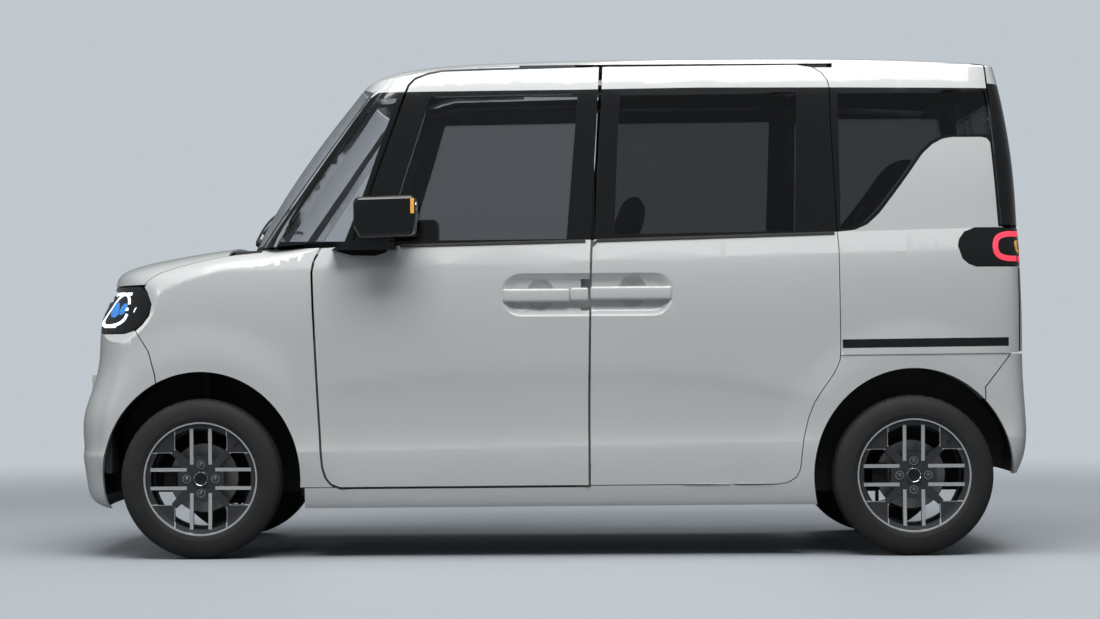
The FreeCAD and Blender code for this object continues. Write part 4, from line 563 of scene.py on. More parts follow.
def laid(shape, spots, rise):
    """Sets a flat shape's points on spots of the skin, just below it, and thickens the shape outwards."""
    outward = {}
    for vert, (point, normal) in zip(shape.verts, spots):
        vert.co = point - normal * SINK
        outward[tuple(round(c, 6) for c in vert.co)] = normal
    made = bmesh.ops.extrude_face_region(shape, geom=shape.faces[:])
    for vert in made["geom"]:
        if isinstance(vert, bmesh.types.BMVert):
            vert.co += outward[tuple(round(c, 6) for c in vert.co)] * (rise + SINK)
    return shape


def strip(path, width, rise, place, count):
    """A strip of even width along a path, laid on the skin and thickened outwards."""
    shape = bmesh.new()
    bmesh.ops.create_grid(shape, x_segments=count, y_segments=2, size=0.5)
    spots = []
    for vert in shape.verts:
        (u, v), (du, dv) = along(path, min(1.0, max(0.0, vert.co.x + 0.5)))
        off = vert.co.y * width
        spots.append(place(u - dv * off, v + du * off))
    return laid(shape, spots, rise)


def patch(outline, rise, place):
    """A filled outline, with rings of faces inside it, laid on the skin and thickened outwards."""
    shape = bmesh.new()
    shape.faces.new([shape.verts.new((u, v, 0)) for u, v in outline])
    spans = [max(p[k] for p in outline) - min(p[k] for p in outline) for k in range(2)]
    for _ in range(PATCH_RINGS):
        last = max(shape.faces, key=lambda f: f.calc_area())
        bmesh.ops.inset_individual(shape, faces=[last], thickness=min(spans) * 0.11)
    spots = [place(vert.co.x, vert.co.y) for vert in shape.verts]
    return laid(shape, spots, rise)


def tube(points, radius):
    """A round bar through points, made as a bevelled curve and turned into a mesh."""
    curve = bpy.data.curves.new("bar", "CURVE")
    curve.dimensions = "3D"
    curve.bevel_depth = radius
    curve.bevel_resolution = 2
    curve.use_fill_caps = True
    spline = curve.splines.new("NURBS")
    spline.points.add(len(points) - 1)
    for target, point in zip(spline.points, points):
        target.co = (*point, 1.0)
    spline.order_u = 3
    spline.use_endpoint_u = True
    spline.resolution_u = 8
    carrier = bpy.data.objects.new("bar", curve)
    mesh = bpy.data.meshes.new_from_object(carrier)
    shape = bmesh.new()
    shape.from_mesh(mesh)
    bpy.data.objects.remove(carrier)
    bpy.data.curves.remove(curve)
    bpy.data.meshes.remove(mesh)
    return shape


# Sizes and colours that a user would change
class CAR_PG_shades(bpy.types.PropertyGroup):
    paint: FloatVectorProperty(
        name="Body paint",
        description="Colour of the painted panels",
        subtype="COLOR",
        size=3,
        default=PAINT_WHITE,
    )
    floor: FloatVectorProperty(
        name="Floor", description="Colour of the studio floor", subtype="COLOR", size=3, default=FLOOR_GREY
    )


class CAR_PG_wheels(bpy.types.PropertyGroup):
    groove: FloatProperty(
        name="Tread groove", description="Depth of the tyre's grooves", default=0.0065, unit="LENGTH"
    )
    cap: FloatProperty(
        name="Cap radius", description="Radius of the wheel's centre cap", default=0.0245, unit="LENGTH"
    )


class CAR_PG_lamps(bpy.types.PropertyGroup):
    line: FloatProperty(
        name="Light line", description="Width of the lit lines in the lamps", default=0.010, unit="LENGTH"
    )


class CAR_OT_finishes(bpy.types.Operator):
    """Give every CAD node its material"""

    bl_idname = "car.finishes"
    bl_label = "Finishes"

    def execute(self, context):
        for subpart in frame["record"]["subparts"]:
            if subpart["material_slot"] in SLOT_FINISHES:
                self.paint(subpart["node"], finish_of(SLOT_FINISHES[subpart["material_slot"]]))
        for finish, names in NODE_FINISHES.items():
            for name in names:
                self.paint(name, finish_of(finish))
        for label, sign, centre in wheels():
            self.paint("rim_" + label, wheel_finish("wheel_" + label, centre, sign))
            self.paint("brake_disc_" + label, disc_finish("disc_" + label, centre))
        return {"FINISHED"}

    @staticmethod
    def paint(node, material):
        NODES[node].data.materials.clear()
        NODES[node].data.materials.append(material)


# Half a tyre's section as (radius, distance from its middle), its grooves and its shoulder slots
TREAD_STEPS = 144
TREAD_RADIUS = 0.2800
TYRE_PROFILE = [
    *((0.1925, 0.064), (0.1960, 0.0745), (0.2060, 0.0800), (0.2130, 0.0810)),
    *((0.2145, 0.0822), (0.2300, 0.0825), (0.2450, 0.0810), (0.2600, 0.0765)),
    *((0.2700, 0.0700), (0.2760, 0.0630), (0.2785, 0.0570), (0.2795, 0.0400)),
]
GROOVE_MIDDLES = (0.0290, 0.0095)
GROOVE_HALF = 0.0045
SHOULDER = (0.040, 0.066)
SHOULDER_RADIUS = 0.268
SLOT_EVERY = 3


class CAR_OT_tyres(bpy.types.Operator):
    """Put four treaded tyres on the rims"""

    bl_idname = "car.tyres"
    bl_label = "Tyres"

    def execute(self, context):
        for label, _, centre in wheels():
            shape = self.tyre(centre, context.scene.car_wheels.groove)
            piece = new_piece(shape, "tyre_tread_" + label, "wheel_" + label, "rubber", 30.0)
            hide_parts("tyre_" + label)
        return {"FINISHED"}

    @staticmethod
    def tyre(centre, groove):
        """Side walls and tread spun in one, with grooves round it and slots across its shoulders."""
        outer = list(TYRE_PROFILE)
        for middle in GROOVE_MIDDLES:
            outer += [
                (TREAD_RADIUS, middle + GROOVE_HALF),
                (TREAD_RADIUS - groove, middle + GROOVE_HALF * 0.7),
                (TREAD_RADIUS - groove, middle - GROOVE_HALF * 0.7),
                (TREAD_RADIUS + 0.0003, middle - GROOVE_HALF),
            ]
        profile = outer + [(r, -w) for r, w in outer[::-1]]
        shape = turned(profile + [profile[0]], centre, (0, 1, 0), TREAD_STEPS)
        slots = []
        for face in shape.faces:
            middle = face.calc_center_median() - centre
            step = round((math.atan2(middle.z, middle.x) / math.tau) * TREAD_STEPS)
            shoulder = SHOULDER[0] < abs(middle.y) < SHOULDER[1]
            if shoulder and math.hypot(middle.x, middle.z) > SHOULDER_RADIUS and step % SLOT_EVERY == 0:
                slots.append(face)
        bmesh.ops.inset_individual(shape, faces=slots, thickness=0.0012, depth=-0.003)
        return shape


# Turned trim on a wheel's face as (radius, height). The cap and its ring have shares of the cap's radius.
WHEEL_FACE = 0.0555
BOLT_REACH = 0.050
CAP_SHARES = [(0.0, 0.010), (0.86, 0.009), (1.0, 0.005), (1.0, -0.004), (0.0, -0.004)]
RING_SHARES = [(0.88, 0.0085), (0.97, 0.0105), (1.06, 0.0070), (1.06, -0.003), (0.88, -0.003), (0.88, 0.0085)]
BOLT_SEAT = [(0.0152, -0.0008), (0.0152, 0.0015), (0.0118, 0.0015), (0.0105, -0.002), (0.0152, -0.0008)]
NUT_HEAD = [(0.0, 0.011), (0.0062, 0.010), (0.0085, 0.006), (0.0085, -0.006), (0.0, -0.006)]
VALVE_FOOT = (0.128, 0.062, 0.128)
VALVE_TIP = (-0.010, 0.012, -0.010)
VALVE_RADIUS = 0.004


class CAR_OT_wheel_trim(bpy.types.Operator):
    """Add each wheel's centre cap, nuts and valve"""

    bl_idname = "car.wheel_trim"
    bl_label = "Wheel trim"

    def execute(self, context):
        radius = context.scene.car_wheels.cap
        for label, sign, centre in wheels():
            out = Vector((0, sign, 0))
            face = centre + out * WHEEL_FACE
            turns = [k * math.tau / 4 for k in range(4)]
            bolts = [face + Vector((math.cos(turn), 0, math.sin(turn))) * BOLT_REACH for turn in turns]
            for name, finish, profile, places, steps, sharp in (
                ("centre_cap_", "gloss_black", [(radius * r, h) for r, h in CAP_SHARES], [face], 40, 35.0),
                ("cap_ring_", "bright_metal", [(radius * r, h) for r, h in RING_SHARES], [face], 40, 35.0),
                ("bolt_seats_", "bright_metal", BOLT_SEAT, bolts, 24, 35.0),
                ("nuts_", "steel", NUT_HEAD, bolts, 6, 25.0),
            ):
                shape = merged(*(turned(profile, place, out, steps) for place in places))
                new_piece(shape, name + label, "wheel_" + label, finish, sharp)
            foot = centre + Vector(VALVE_FOOT) * Vector((1, sign, 1))
            tip = foot + Vector(VALVE_TIP) * Vector((1, sign, 1))
            valve = tube([foot, (foot + tip) / 2, tip], VALVE_RADIUS)
            new_piece(valve, "valve_" + label, "wheel_" + label, "rubber")
        return {"FINISHED"}


# The doors' shared handle bowl: spans in length and height with a corner radius. Steps are (inset, depth).
BOWL = ((-0.168, 0.434), (0.838, 0.998), 0.070)
BOWL_STEPS = ((0.004, 0.0015), (0.006, 0.004), (0.008, 0.009), (0.010, 0.007), (0.014, 0.002))
BOWL_OVERRUN = 0.03
# Finger pockets in the bowl's floor: middles, half spans, corner radius and depth below the door's skin
POCKETS = ((-0.031, 0.918), (0.292, 0.928))
POCKET_HALF = (0.052, 0.058)
POCKET_ROUND = 0.050
POCKET_LEVEL = 0.020
POCKET_STEPS = ((0.004, 0.004), (0.007, 0.007), (0.010, 0.004))
# Bars across the bowl: each one's length span, and what they share
BARS = (("pull", -0.163, 0.0715), ("bridge", 0.0735, 0.1370), ("slide_pull", 0.1440, 0.429))
BAR_HEIGHT = (0.894, 0.941)
BAR_LEVELS = (-0.020, 0.004)
BAR_ROUND = 0.0085
BAR_SLOPE = 0.010


def rounded_outline(x_range, z_range, radius, turns=9):
    """The corners of a rectangle rounded, as (x, z) points."""
    points = []
    (x0, x1), (z0, z1) = x_range, z_range
    near_x, far_x, near_z, far_z = x0 + radius, x1 - radius, z0 + radius, z1 - radius
    for quarter, (x, z) in enumerate(((far_x, far_z), (near_x, far_z), (near_x, near_z), (far_x, near_z))):
        for k in range(turns + 1):
            angle = math.pi / 2 * (quarter + k / turns)
            points.append((x + radius * math.cos(angle), z + radius * math.sin(angle)))
    return points


def dish(outline, sign, level, steps):
    """A closed cutter whose walls flare from a floor up to the level of the skin."""
    shape = bmesh.new()
    face = shape.faces.new([shape.verts.new((x, sign * (level + BOWL_OVERRUN), z)) for x, z in outline])
    made = bmesh.ops.extrude_face_region(shape, geom=[face])
    moved = [v for v in made["geom"] if isinstance(v, bmesh.types.BMVert)]
    bmesh.ops.translate(shape, verts=moved, vec=(0, -sign * BOWL_OVERRUN, 0))
    inner = next(f for f in made["geom"] if isinstance(f, bmesh.types.BMFace))
    bmesh.ops.recalc_face_normals(shape, faces=shape.faces[:])
    for thickness, depth in steps:
        bmesh.ops.inset_individual(shape, faces=[inner], thickness=thickness, depth=depth)
    bmesh.ops.recalc_face_normals(shape, faces=shape.faces[:])
    return shape


def as_object(shape, name):
    mesh = bpy.data.meshes.new(name)
    shape.to_mesh(mesh)
    shape.free()
    made = bpy.data.objects.new(name, mesh)
    bpy.context.scene.collection.objects.link(made)
    return made


# The flank's shape: a fold low on the doors, between the sills' and the shoulders' lines
FOLD_LINE = [(-0.83, 0.378), (1.016, 0.405)]
FOLD_TOP = [(-0.83, 0.640), (-0.40, 0.690), (0.10, 0.705), (0.60, 0.670), (1.016, 0.560)]
FOLD_ENDS = (-0.86, 1.05)
FOLD_FADE = 0.16
FOLD_DEPTH = 0.014
FOLD_KICK = 0.010
SILL_HEIGHT = 0.25
# Swollen arches: the rise, the arch's half spans, and the shares of them over which it fades out
FLARE = 0.012
ARCH_HALF = (0.350, 0.375)
FLARE_REACH = (1.08, 1.50)
FLARE_END = (-0.845, 0.08)
ARCH_CENTRES = [wheel_centre(end, "left") for end in ENDS]
# The skin that is shaped: how finely it is cut, how high, and how far out it starts
CUT_SPACING = 0.03
SHAPED_TOP = 1.02
SHAPED_FROM = (0.66, 0.03)


def eased(share):
    share = min(1.0, max(0.0, share))
    return share * share * (3 - 2 * share)


def height_at(line, x):
    """The height of a line of points at one length."""
    for (x0, z0), (x1, z1) in zip(line, line[1:]):
        if x0 <= x <= x1:
            return z0 + (z1 - z0) * (x - x0) / (x1 - x0)
    return line[0][1] if x < line[0][0] else line[-1][1]


def flank_rise(x, z):
    """How far the painted flank stands out from its plain solid at a length and height."""
    ends = eased((x - FOLD_ENDS[0]) / FOLD_FADE) * eased((FOLD_ENDS[1] - x) / FOLD_FADE)
    low, top = height_at(FOLD_LINE, x), height_at(FOLD_TOP, x)
    share = (top - z) / (top - low)
    fold = -FOLD_DEPTH * max(0.0, min(1.0, share)) * eased(share * 3)
    if z < low:
        fold += FOLD_KICK * min(1.0, (low - z) / (low - SILL_HEIGHT))
    rise = fold * ends
    start, stop = FLARE_REACH
    for centre in ARCH_CENTRES:
        reach = math.hypot((x - centre.x) / ARCH_HALF[0], (z - centre.z) / ARCH_HALF[1])
        ahead = eased((FLARE_END[0] - x) / FLARE_END[1]) if centre.x < 0 else 1.0
        rise += FLARE * ahead * (1 - eased((reach - start) / (stop - start)))
    return rise


def shaped(name):
    """A merged copy of a CAD node, cut into a grid whose outer points follow the flank's shape."""
    shape = bmesh.new()
    shape.from_mesh(NODES[name].data)
    bmesh.ops.remove_doubles(shape, verts=shape.verts[:], dist=0.00002)
    low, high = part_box(name)
    for axis, stop in ((0, high[0]), (2, min(high[2], SHAPED_TOP))):
        place = low[axis] + CUT_SPACING
        while place < stop:
            point, normal = [0.0, 0.0, 0.0], [0.0, 0.0, 0.0]
            point[axis], normal[axis] = place, 1.0
            geom = shape.faces[:] + shape.edges[:] + shape.verts[:]
            bmesh.ops.bisect_plane(shape, geom=geom, dist=0.0002, plane_co=point, plane_no=normal)
            place += CUT_SPACING
    shape.normal_update()
    inner, fade = SHAPED_FROM
    for vert in shape.verts:
        side = math.copysign(1.0, vert.co.y)
        if abs(vert.co.y) > inner and vert.normal.y * side > 0.15 and vert.co.z < SHAPED_TOP:
            share = eased((abs(vert.co.y) - inner) / fade)
            vert.co.y += side * share * flank_rise(vert.co.x, vert.co.z)
    return shape


def keep_modified(made):
    """Turns an object's modifiers into its mesh."""
    mesh = bpy.data.meshes.new_from_object(made.evaluated_get(bpy.context.evaluated_depsgraph_get()))
    made.modifiers.clear()
    made.data = mesh


def carved(name, cutters):
    """The shaped copy of a CAD node with cutters taken out of it."""
    copy = as_object(shaped(name), name + "_skin")
    for cutter in cutters:
        tool = as_object(cutter, "cutter")
        step = copy.modifiers.new("bowl", "BOOLEAN")
        step.operation = "DIFFERENCE"
        step.solver = "EXACT"
        step.object = tool
        keep_modified(copy)
        bpy.data.objects.remove(tool)
    shape = bmesh.new()
    shape.from_mesh(copy.data)
    bpy.data.objects.remove(copy)
    return shape


def stand_in(shape, name, body, finish):
    """A painted piece in the place of a CAD node."""
    piece = new_piece(shape, name + "_skin", body, finish, 28.0)
    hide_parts(name)
    SHAPED[name] = piece


class CAR_OT_doors(bpy.types.Operator):
    """Sink the handle bowls into the four side doors and lay the handles across them"""

    bl_idname = "car.doors"
    bl_label = "Doors and handles"

    def execute(self, context):
        for side, sign in SIDES:
            front, slide = "front_door_" + side, "sliding_door_" + side
            place = Skin(front, slide).side(sign)
            level = max(abs(place(x, z)[0].y) for x in (-0.1, 0.1, 0.3) for z in (0.86, 0.92, 0.98)) + 0.0005
            for door, body in ((front, front), (slide, "car_body")):
                cutters = [dish(rounded_outline(*BOWL), sign, level, BOWL_STEPS)]
                for middle in POCKETS:
                    spans = [(m - half, m + half) for m, half in zip(middle, POCKET_HALF)]
                    outline = rounded_outline(*spans, POCKET_ROUND)
                    cutters.append(dish(outline, sign, level - POCKET_LEVEL, POCKET_STEPS))
                stand_in(carved(door, cutters), door, body, "side_paint")
            self.handles(side, sign, level)
        return {"FINISHED"}

    @staticmethod
    def handles(side, sign, level):
        ys = sorted(sign * (level + off) for off in BAR_LEVELS)
        for name, x0, x1 in BARS:
            body = "car_body" if name == "slide_pull" else "front_door_" + side
            low, high = (x0, ys[0], BAR_HEIGHT[0]), (x1, ys[1], BAR_HEIGHT[1])
            shape = rounded_box(low, high, BAR_ROUND, 5)
            bmesh.ops.translate(shape, verts=shape.verts[:], vec=(0, 0, BAR_SLOPE * (x0 + x1)))
            new_piece(shape, "door_%s_%s" % (name, side), body, "pearl_paint", 40.0)


class CAR_OT_flanks(bpy.types.Operator):
    """Give the sides, fenders and bumpers their folds and swollen arches"""

    bl_idname = "car.flanks"
    bl_label = "Flanks"

    def execute(self, context):
        for name in ("body_side_left", "body_side_right", "front_fenders", "front_bumper", "rear_bumper"):
            finish = "side_paint" if name.startswith("body_side") else "pearl_paint"
            stand_in(shaped(name), name, "car_body", finish)
        return {"FINISHED"}


# The slide rail's slot and ledge as (path, width, rise), the sail at the mirror's foot, and the window seals
RAIL_SLOT = ([(1.018, 0.7415), (1.606, 0.7465)], 0.030, 0.0009)
RAIL_LEDGE = ([(1.018, 0.7135), (1.612, 0.7175)], 0.021, 0.0035)
MIRROR_SAIL = [
    *((-0.764, 1.092), (-0.735, 1.072), (-0.690, 1.060), (-0.610, 1.058), (-0.575, 1.068)),
    *((-0.548, 1.088), (-0.515, 1.100), (-0.520, 1.112), (-0.640, 1.115), (-0.750, 1.112)),
]
SEAM = [(-1.0, 1.0895)] + [(x, z - 0.004) for x, z in BELT_LINE[1:]]
SEAL_WIDTH, SEAL_RISE = 0.011, 0.0035


class CAR_OT_side_trim(bpy.types.Operator):
    """Add the slide rails, mirror trim, window seals and sails"""

    bl_idname = "car.side_trim"
    bl_label = "Side trim"

    def execute(self, context):
        for side, sign in SIDES:
            body = Skin("body_side_" + side).side(sign)
            door = Skin("front_door_" + side).side(sign)
            slot = strip(*RAIL_SLOT, body, 90)
            new_piece(slot, "rail_slot_" + side, "car_body", "gloss_black")
            ledge = strip(*RAIL_LEDGE, body, 70)
            new_piece(ledge, "rail_ledge_" + side, "car_body", "pearl_paint", 20.0)
            sail = patch(MIRROR_SAIL, 0.0022, door)
            new_piece(sail, "mirror_sail_" + side, "front_door_" + side, "gloss_black")
            self.mirror(side, sign, Skin("mirror_" + side))
            self.belt(side, sign)
        return {"FINISHED"}

    @staticmethod
    def mirror(side, sign, skin):
        low, high = (Vector(c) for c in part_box("mirror_" + side))
        body = "front_door_" + side
        amber = strip([(high.x - 0.012, 1.196), (high.x - 0.012, 1.247)], 0.011, 0.0022, skin.side(sign), 16)
        new_piece(amber, "mirror_signal_" + side, body, "amber_lens")
        reach = sorted((abs(low.y), abs(high.y)))
        ys = sorted((sign * (reach[0] + 0.035), sign * (reach[1] - 0.022)))
        glass = patch(rounded_outline(ys, (low.z + 0.050, high.z - 0.020), 0.018, 6), 0.0010, skin.end(1))
        new_piece(glass, "mirror_glass_" + side, body, "mirror_face")

    @staticmethod
    def belt(side, sign):
        for name, body, low, high in (
            ("front_door_" + side, "front_door_" + side, -0.52, 0.128),
            ("sliding_door_" + side, "car_body", 0.155, 1.000),
        ):
            place = Skin(name).side(sign)
            points = [(low, height_at(SEAM, low))]
            points += [(x, z) for x, z in SEAM if low < x < high]
            points += [(high, height_at(SEAM, high))]
            shape = strip(points, SEAL_WIDTH, SEAL_RISE, place, 60)
            new_piece(shape, "belt_seal_" + name, body, "rubber")


# Lit lines of the lamps, as (length, height) on the side and (distance from the middle, height) on an end
LINE_RISE = 0.0012
HEAD_UPPER = [(-1.568, 0.932), (-1.530, 0.935), (-1.500, 0.932), (-1.489, 0.915), (-1.488, 0.896)]
HEAD_LOWER = [(-1.583, 0.818), (-1.550, 0.820), (-1.520, 0.827), (-1.500, 0.842), (-1.493, 0.861)]
HEAD_MIDDLE = [(-1.520, 0.878), (-1.490, 0.878)]
HEAD_FACE = [
    *((0.600, 0.932), (0.570, 0.933), (0.530, 0.930), (0.495, 0.916), (0.482, 0.878)),
    *((0.492, 0.840), (0.530, 0.822), (0.580, 0.818), (0.620, 0.818)),
]
PROJECTORS = ((0.590, 0.878), (0.525, 0.878))
PROJECTOR_LENS = [(0.0, 0.0030), (0.014, 0.0024), (0.024, 0.0006), (0.0265, -0.003), (0.0, -0.003)]
HEAD_GLOW = ((-1.568, -1.532), (0.850, 0.908), 0.017)
TAIL_WIDTH = 1.9
TAIL_SIDE = [
    *((1.638, 1.124), (1.600, 1.124), (1.568, 1.112), (1.559, 1.080)),
    *((1.568, 1.048), (1.600, 1.037), (1.638, 1.037)),
]
TAIL_FACE = [
    *((0.680, 1.124), (0.640, 1.126), (0.600, 1.120), (0.585, 1.080)),
    *((0.600, 1.040), (0.640, 1.034), (0.680, 1.037)),
]
TAIL_SIGNAL = ((0.618, 0.690), (1.058, 1.102), 0.016)


class CAR_OT_lamps(bpy.types.Operator):
    """Light the headlamps and tail lamps"""

    bl_idname = "car.lamps"
    bl_label = "Lamps"

    def execute(self, context):
        width = context.scene.car_lamps.line
        for side, sign in SIDES:
            self.head_lines(side, sign, Skin("headlamps"), width)
            self.tail_ring(side, sign, Skin("tail_lamps"), width * TAIL_WIDTH)
        return {"FINISHED"}

    @staticmethod
    def head_lines(side, sign, skin, width):
        paths = (smooth_path(HEAD_UPPER), smooth_path(HEAD_LOWER), HEAD_MIDDLE)
        lines = merged(*(strip(path, width, LINE_RISE, skin.side(sign), 40) for path in paths))
        front = smooth_path([(sign * y, z) for y, z in HEAD_FACE])
        ring = strip(front, width, LINE_RISE, skin.end(-1), 90)
        glow = patch(rounded_outline(*HEAD_GLOW, 6), 0.0008, skin.side(sign))
        pieces = [(lines, "lamp_lines", "white_light"), (ring, "lamp_face_line", "white_light")]
        for k, (y, z) in enumerate(PROJECTORS):
            lens = turned(PROJECTOR_LENS, *skin.end(-1)(sign * y, z), 40)
            pieces.append((lens, "projector_%d" % (k + 1), "blue_glow"))
        for shape, name, finish in pieces + [(glow, "side_glow", "blue_glow")]:
            new_piece(shape, "%s_%s" % (name, side), "car_body", finish)

    @staticmethod
    def tail_ring(side, sign, skin, width):
        ring = strip(smooth_path(TAIL_SIDE), width, LINE_RISE, skin.side(sign), 80)
        back = strip(smooth_path([(sign * y, z) for y, z in TAIL_FACE]), width, LINE_RISE, skin.end(1), 90)
        span, heights, corner = TAIL_SIGNAL
        outline = rounded_outline(sorted(sign * y for y in span), heights, corner, 6)
        inner = patch(outline, 0.0010, skin.end(1))
        for shape, name, finish in (
            (ring, "tail_ring_", "red_light"),
            (back, "tail_face_ring_", "red_light"),
            (inner, "tail_signal_", "amber_lens"),
        ):
            new_piece(shape, name + side, "car_body", finish)


# Plates as (end, sign, body, middle height, node below), their half spans and screws, and the wipers' pivots
PLATES = (("front", -1, "car_body", 0.560, "front_bumper"), ("rear", 1, "tailgate", 0.900, "tailgate"))
PLATE_HALF = (0.165, 0.0825)
PLATE_SCREW = [
    *((0.0, 0.0022), (0.005, 0.0018), (0.0065, 0.0), (0.0065, -0.004)),
    *((0.003, -0.004), (0.003, -0.030), (0.0, -0.030)),
]
WIPERS = (("left", (-1.045, -0.42), (-0.985, 0.10)), ("right", (-1.045, 0.16), (-0.985, 0.52)))
WIPER_PIVOT = [(0.0, 0.014), (0.012, 0.012), (0.016, 0.002), (0.016, -0.006), (0.0, -0.006)]
REAR_PIVOT = [(0.0, 0.020), (0.016, 0.018), (0.020, 0.003), (0.020, -0.006), (0.0, -0.006)]
GRILLE_HEIGHTS = (0.835, 0.872, 0.909)
INTAKE = ((-0.405, 0.405), (0.272, 0.468), 0.050)


class CAR_OT_ends(bpy.types.Operator):
    """Add the plates, wipers, grille bars and rear trim"""

    bl_idname = "car.ends"
    bl_label = "Front and rear trim"

    def execute(self, context):
        self.plates()
        self.wipers()
        self.grille()
        self.rear_trim()
        return {"FINISHED"}

    @staticmethod
    def plates():
        half_y, half_z = PLATE_HALF
        for end, sign, body, z, node in PLATES:
            place = Skin(node).end(sign)
            reach = max(abs(place(y, h)[0].x) for y in (-0.15, 0.0, 0.15) for h in (z - 0.06, z, z + 0.06))
            xs = sorted((sign * (reach + 0.0008), sign * (reach + 0.0028)))
            shape = rounded_box((xs[0], -half_y, z - half_z), (xs[1], half_y, z + half_z), 0.0009, 2)
            new_piece(shape, "plate_" + end, body, "plate_white")
            places = [(sign * (reach + 0.0028), y, z) for y in (-0.105, 0.105)]
            screws = merged(*(turned(PLATE_SCREW, place, (sign, 0, 0), 20) for place in places))
            new_piece(screws, "plate_screws_" + end, body, "steel")

    @staticmethod
    def wipers():
        screen = Skin("windscreen", "cowl").top()
        for name, foot, tip in WIPERS:
            arm_points, blade_points = [], []
            for k in range(7):
                t = k / 6
                x, y = foot[0] + (tip[0] - foot[0]) * t, foot[1] + (tip[1] - foot[1]) * t
                point, up = screen(x, y)
                arm_points.append(point + up * (0.012 + 0.006 * math.sin(math.pi * t)))
                if t > 0.15:
                    blade_points.append(point + up * 0.0052)
            arm = merged(turned(WIPER_PIVOT, *screen(*foot), 24), tube(arm_points, 0.0045))
            new_piece(arm, "wiper_arm_" + name, "car_body", "black_plastic")
            blade = tube(blade_points, 0.0050)
            new_piece(blade, "wiper_blade_" + name, "car_body", "rubber")

    @staticmethod
    def grille():
        place = Skin("grille").end(-1)
        bars = merged(*(strip([(-0.43, z), (0.43, z)], 0.012, 0.004, place, 80) for z in GRILLE_HEIGHTS))
        new_piece(bars, "grille_bars", "car_body", "steel")
        intake = Skin("front_bumper").end(-1)
        lip = rounded_outline(*INTAKE, 8)
        edge = strip(lip + [lip[0]], 0.012, 0.003, intake, 160)
        new_piece(edge, "intake_lip", "car_body", "black_plastic")

    @staticmethod
    def rear_trim():
        place = Skin("tailgate").end(1)
        handle = rounded_outline((-0.26, 0.26), (0.985, 1.030), 0.018, 6)
        new_piece(patch(handle, 0.006, place), "tailgate_garnish", "tailgate", "gloss_black")
        spoiler_lamp = rounded_outline((-0.15, 0.15), (1.672, 1.690), 0.008, 5)
        new_piece(patch(spoiler_lamp, 0.003, place), "high_stop_lamp", "tailgate", "red_light")
        glass = Skin("tailgate_glass", "tailgate").end(1)
        spots = [glass(0.02 + 0.36 * k / 7, 1.190 + 0.015 * k / 7) for k in range(8)]
        reach = tube([point + up * 0.010 for point, up in spots], 0.0055)
        arm = merged(turned(REAR_PIVOT, *spots[0], 28), reach)
        new_piece(arm, "rear_wiper", "tailgate", "black_plastic")
        bumper = Skin("rear_bumper").end(1)
        for side, sign in SIDES:
            outline = rounded_outline(sorted((sign * 0.44, sign * 0.58)), (0.425, 0.455), 0.010, 5)
            reflector = patch(outline, 0.002, bumper)
            # A red reflector that glows a little, painted light though it is no lamp
            new_piece(reflector, "reflector_" + side, "car_body", "red_glass")


# Seat pads: node, fill, how far the pad may swell, voxel size
SEAT_PRESSURE = 4.0
SEAT_FRAMES = 20
SEAT_PADS = (
    ("front_seat_cushions", 0.7, 0.012, 0.013),
    ("front_seat_backs", 0.7, 0.012, 0.013),
    ("rear_seat_cushion", 0.6, 0.012, 0.014),
    ("rear_seat_back", 0.6, 0.012, 0.014),
    ("headrests", 0.8, 0.008, 0.009),
)


class CAR_OT_seats(bpy.types.Operator):
    """Swell cloth pads in the places of the plain seat solids"""

    bl_idname = "car.seats"
    bl_label = "Seats"

    def execute(self, context):
        for node, fill, cap, voxel in SEAT_PADS:
            piece = self.pad(context, node, cap, voxel)
            piece.data.materials.clear()
            piece.data.materials.append(finish_of("seat_cloth"))
            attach(piece, "car_body")
            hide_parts(node)
        return {"FINISHED"}

    @staticmethod
    def pad(context, node, cap, voxel):
        """A remeshed, slightly shrunk copy of the solid, swollen by cloth pressure."""
        shape = bmesh.new()
        shape.from_mesh(NODES[node].data)
        bmesh.ops.remove_doubles(shape, verts=shape.verts[:], dist=0.00002)
        bmesh.ops.recalc_face_normals(shape, faces=shape.faces[:])
        shape.normal_update()
        for vert in shape.verts:
            vert.co -= vert.normal * (cap * 0.55)
        piece = as_object(shape, node + "_pad")
        step = piece.modifiers.new("remesh", "REMESH")
        step.mode = "VOXEL"
        step.voxel_size = voxel
        keep_modified(piece)
        rest = [v.co.copy() for v in piece.data.vertices]
        CAR_OT_seats.swell(context, piece)
        for vert, start in zip(piece.data.vertices, rest):
            moved = vert.co - start
            if moved.length > cap:
                vert.co = start + moved * (cap / moved.length)
        CAR_OT_seats.smooth(piece)
        step = piece.modifiers.new("round", "SUBSURF")
        step.levels = step.render_levels = 1
        keep_modified(piece)
        for polygon in piece.data.polygons:
            polygon.use_smooth = True
        return piece

    @staticmethod
    def smooth(piece):
        shape = bmesh.new()
        shape.from_mesh(piece.data)
        axes = {"use_axis_" + axis: True for axis in "xyz"}
        for _ in range(4):
            bmesh.ops.smooth_vert(shape, verts=shape.verts[:], factor=0.5, **axes)
        shape.to_mesh(piece.data)
        shape.free()

    @staticmethod
    def swell(context, piece):
        step = piece.modifiers.new("cloth", "CLOTH")
        step.settings.use_pressure = True
        step.settings.uniform_pressure_force = SEAT_PRESSURE
        step.settings.effector_weights.gravity = 0.0
        step.settings.quality = 4
        step.collision_settings.use_collision = False
        for frame_number in range(1, SEAT_FRAMES + 1):
            context.scene.frame_set(frame_number)
        keep_modified(piece)
        context.scene.frame_set(1)


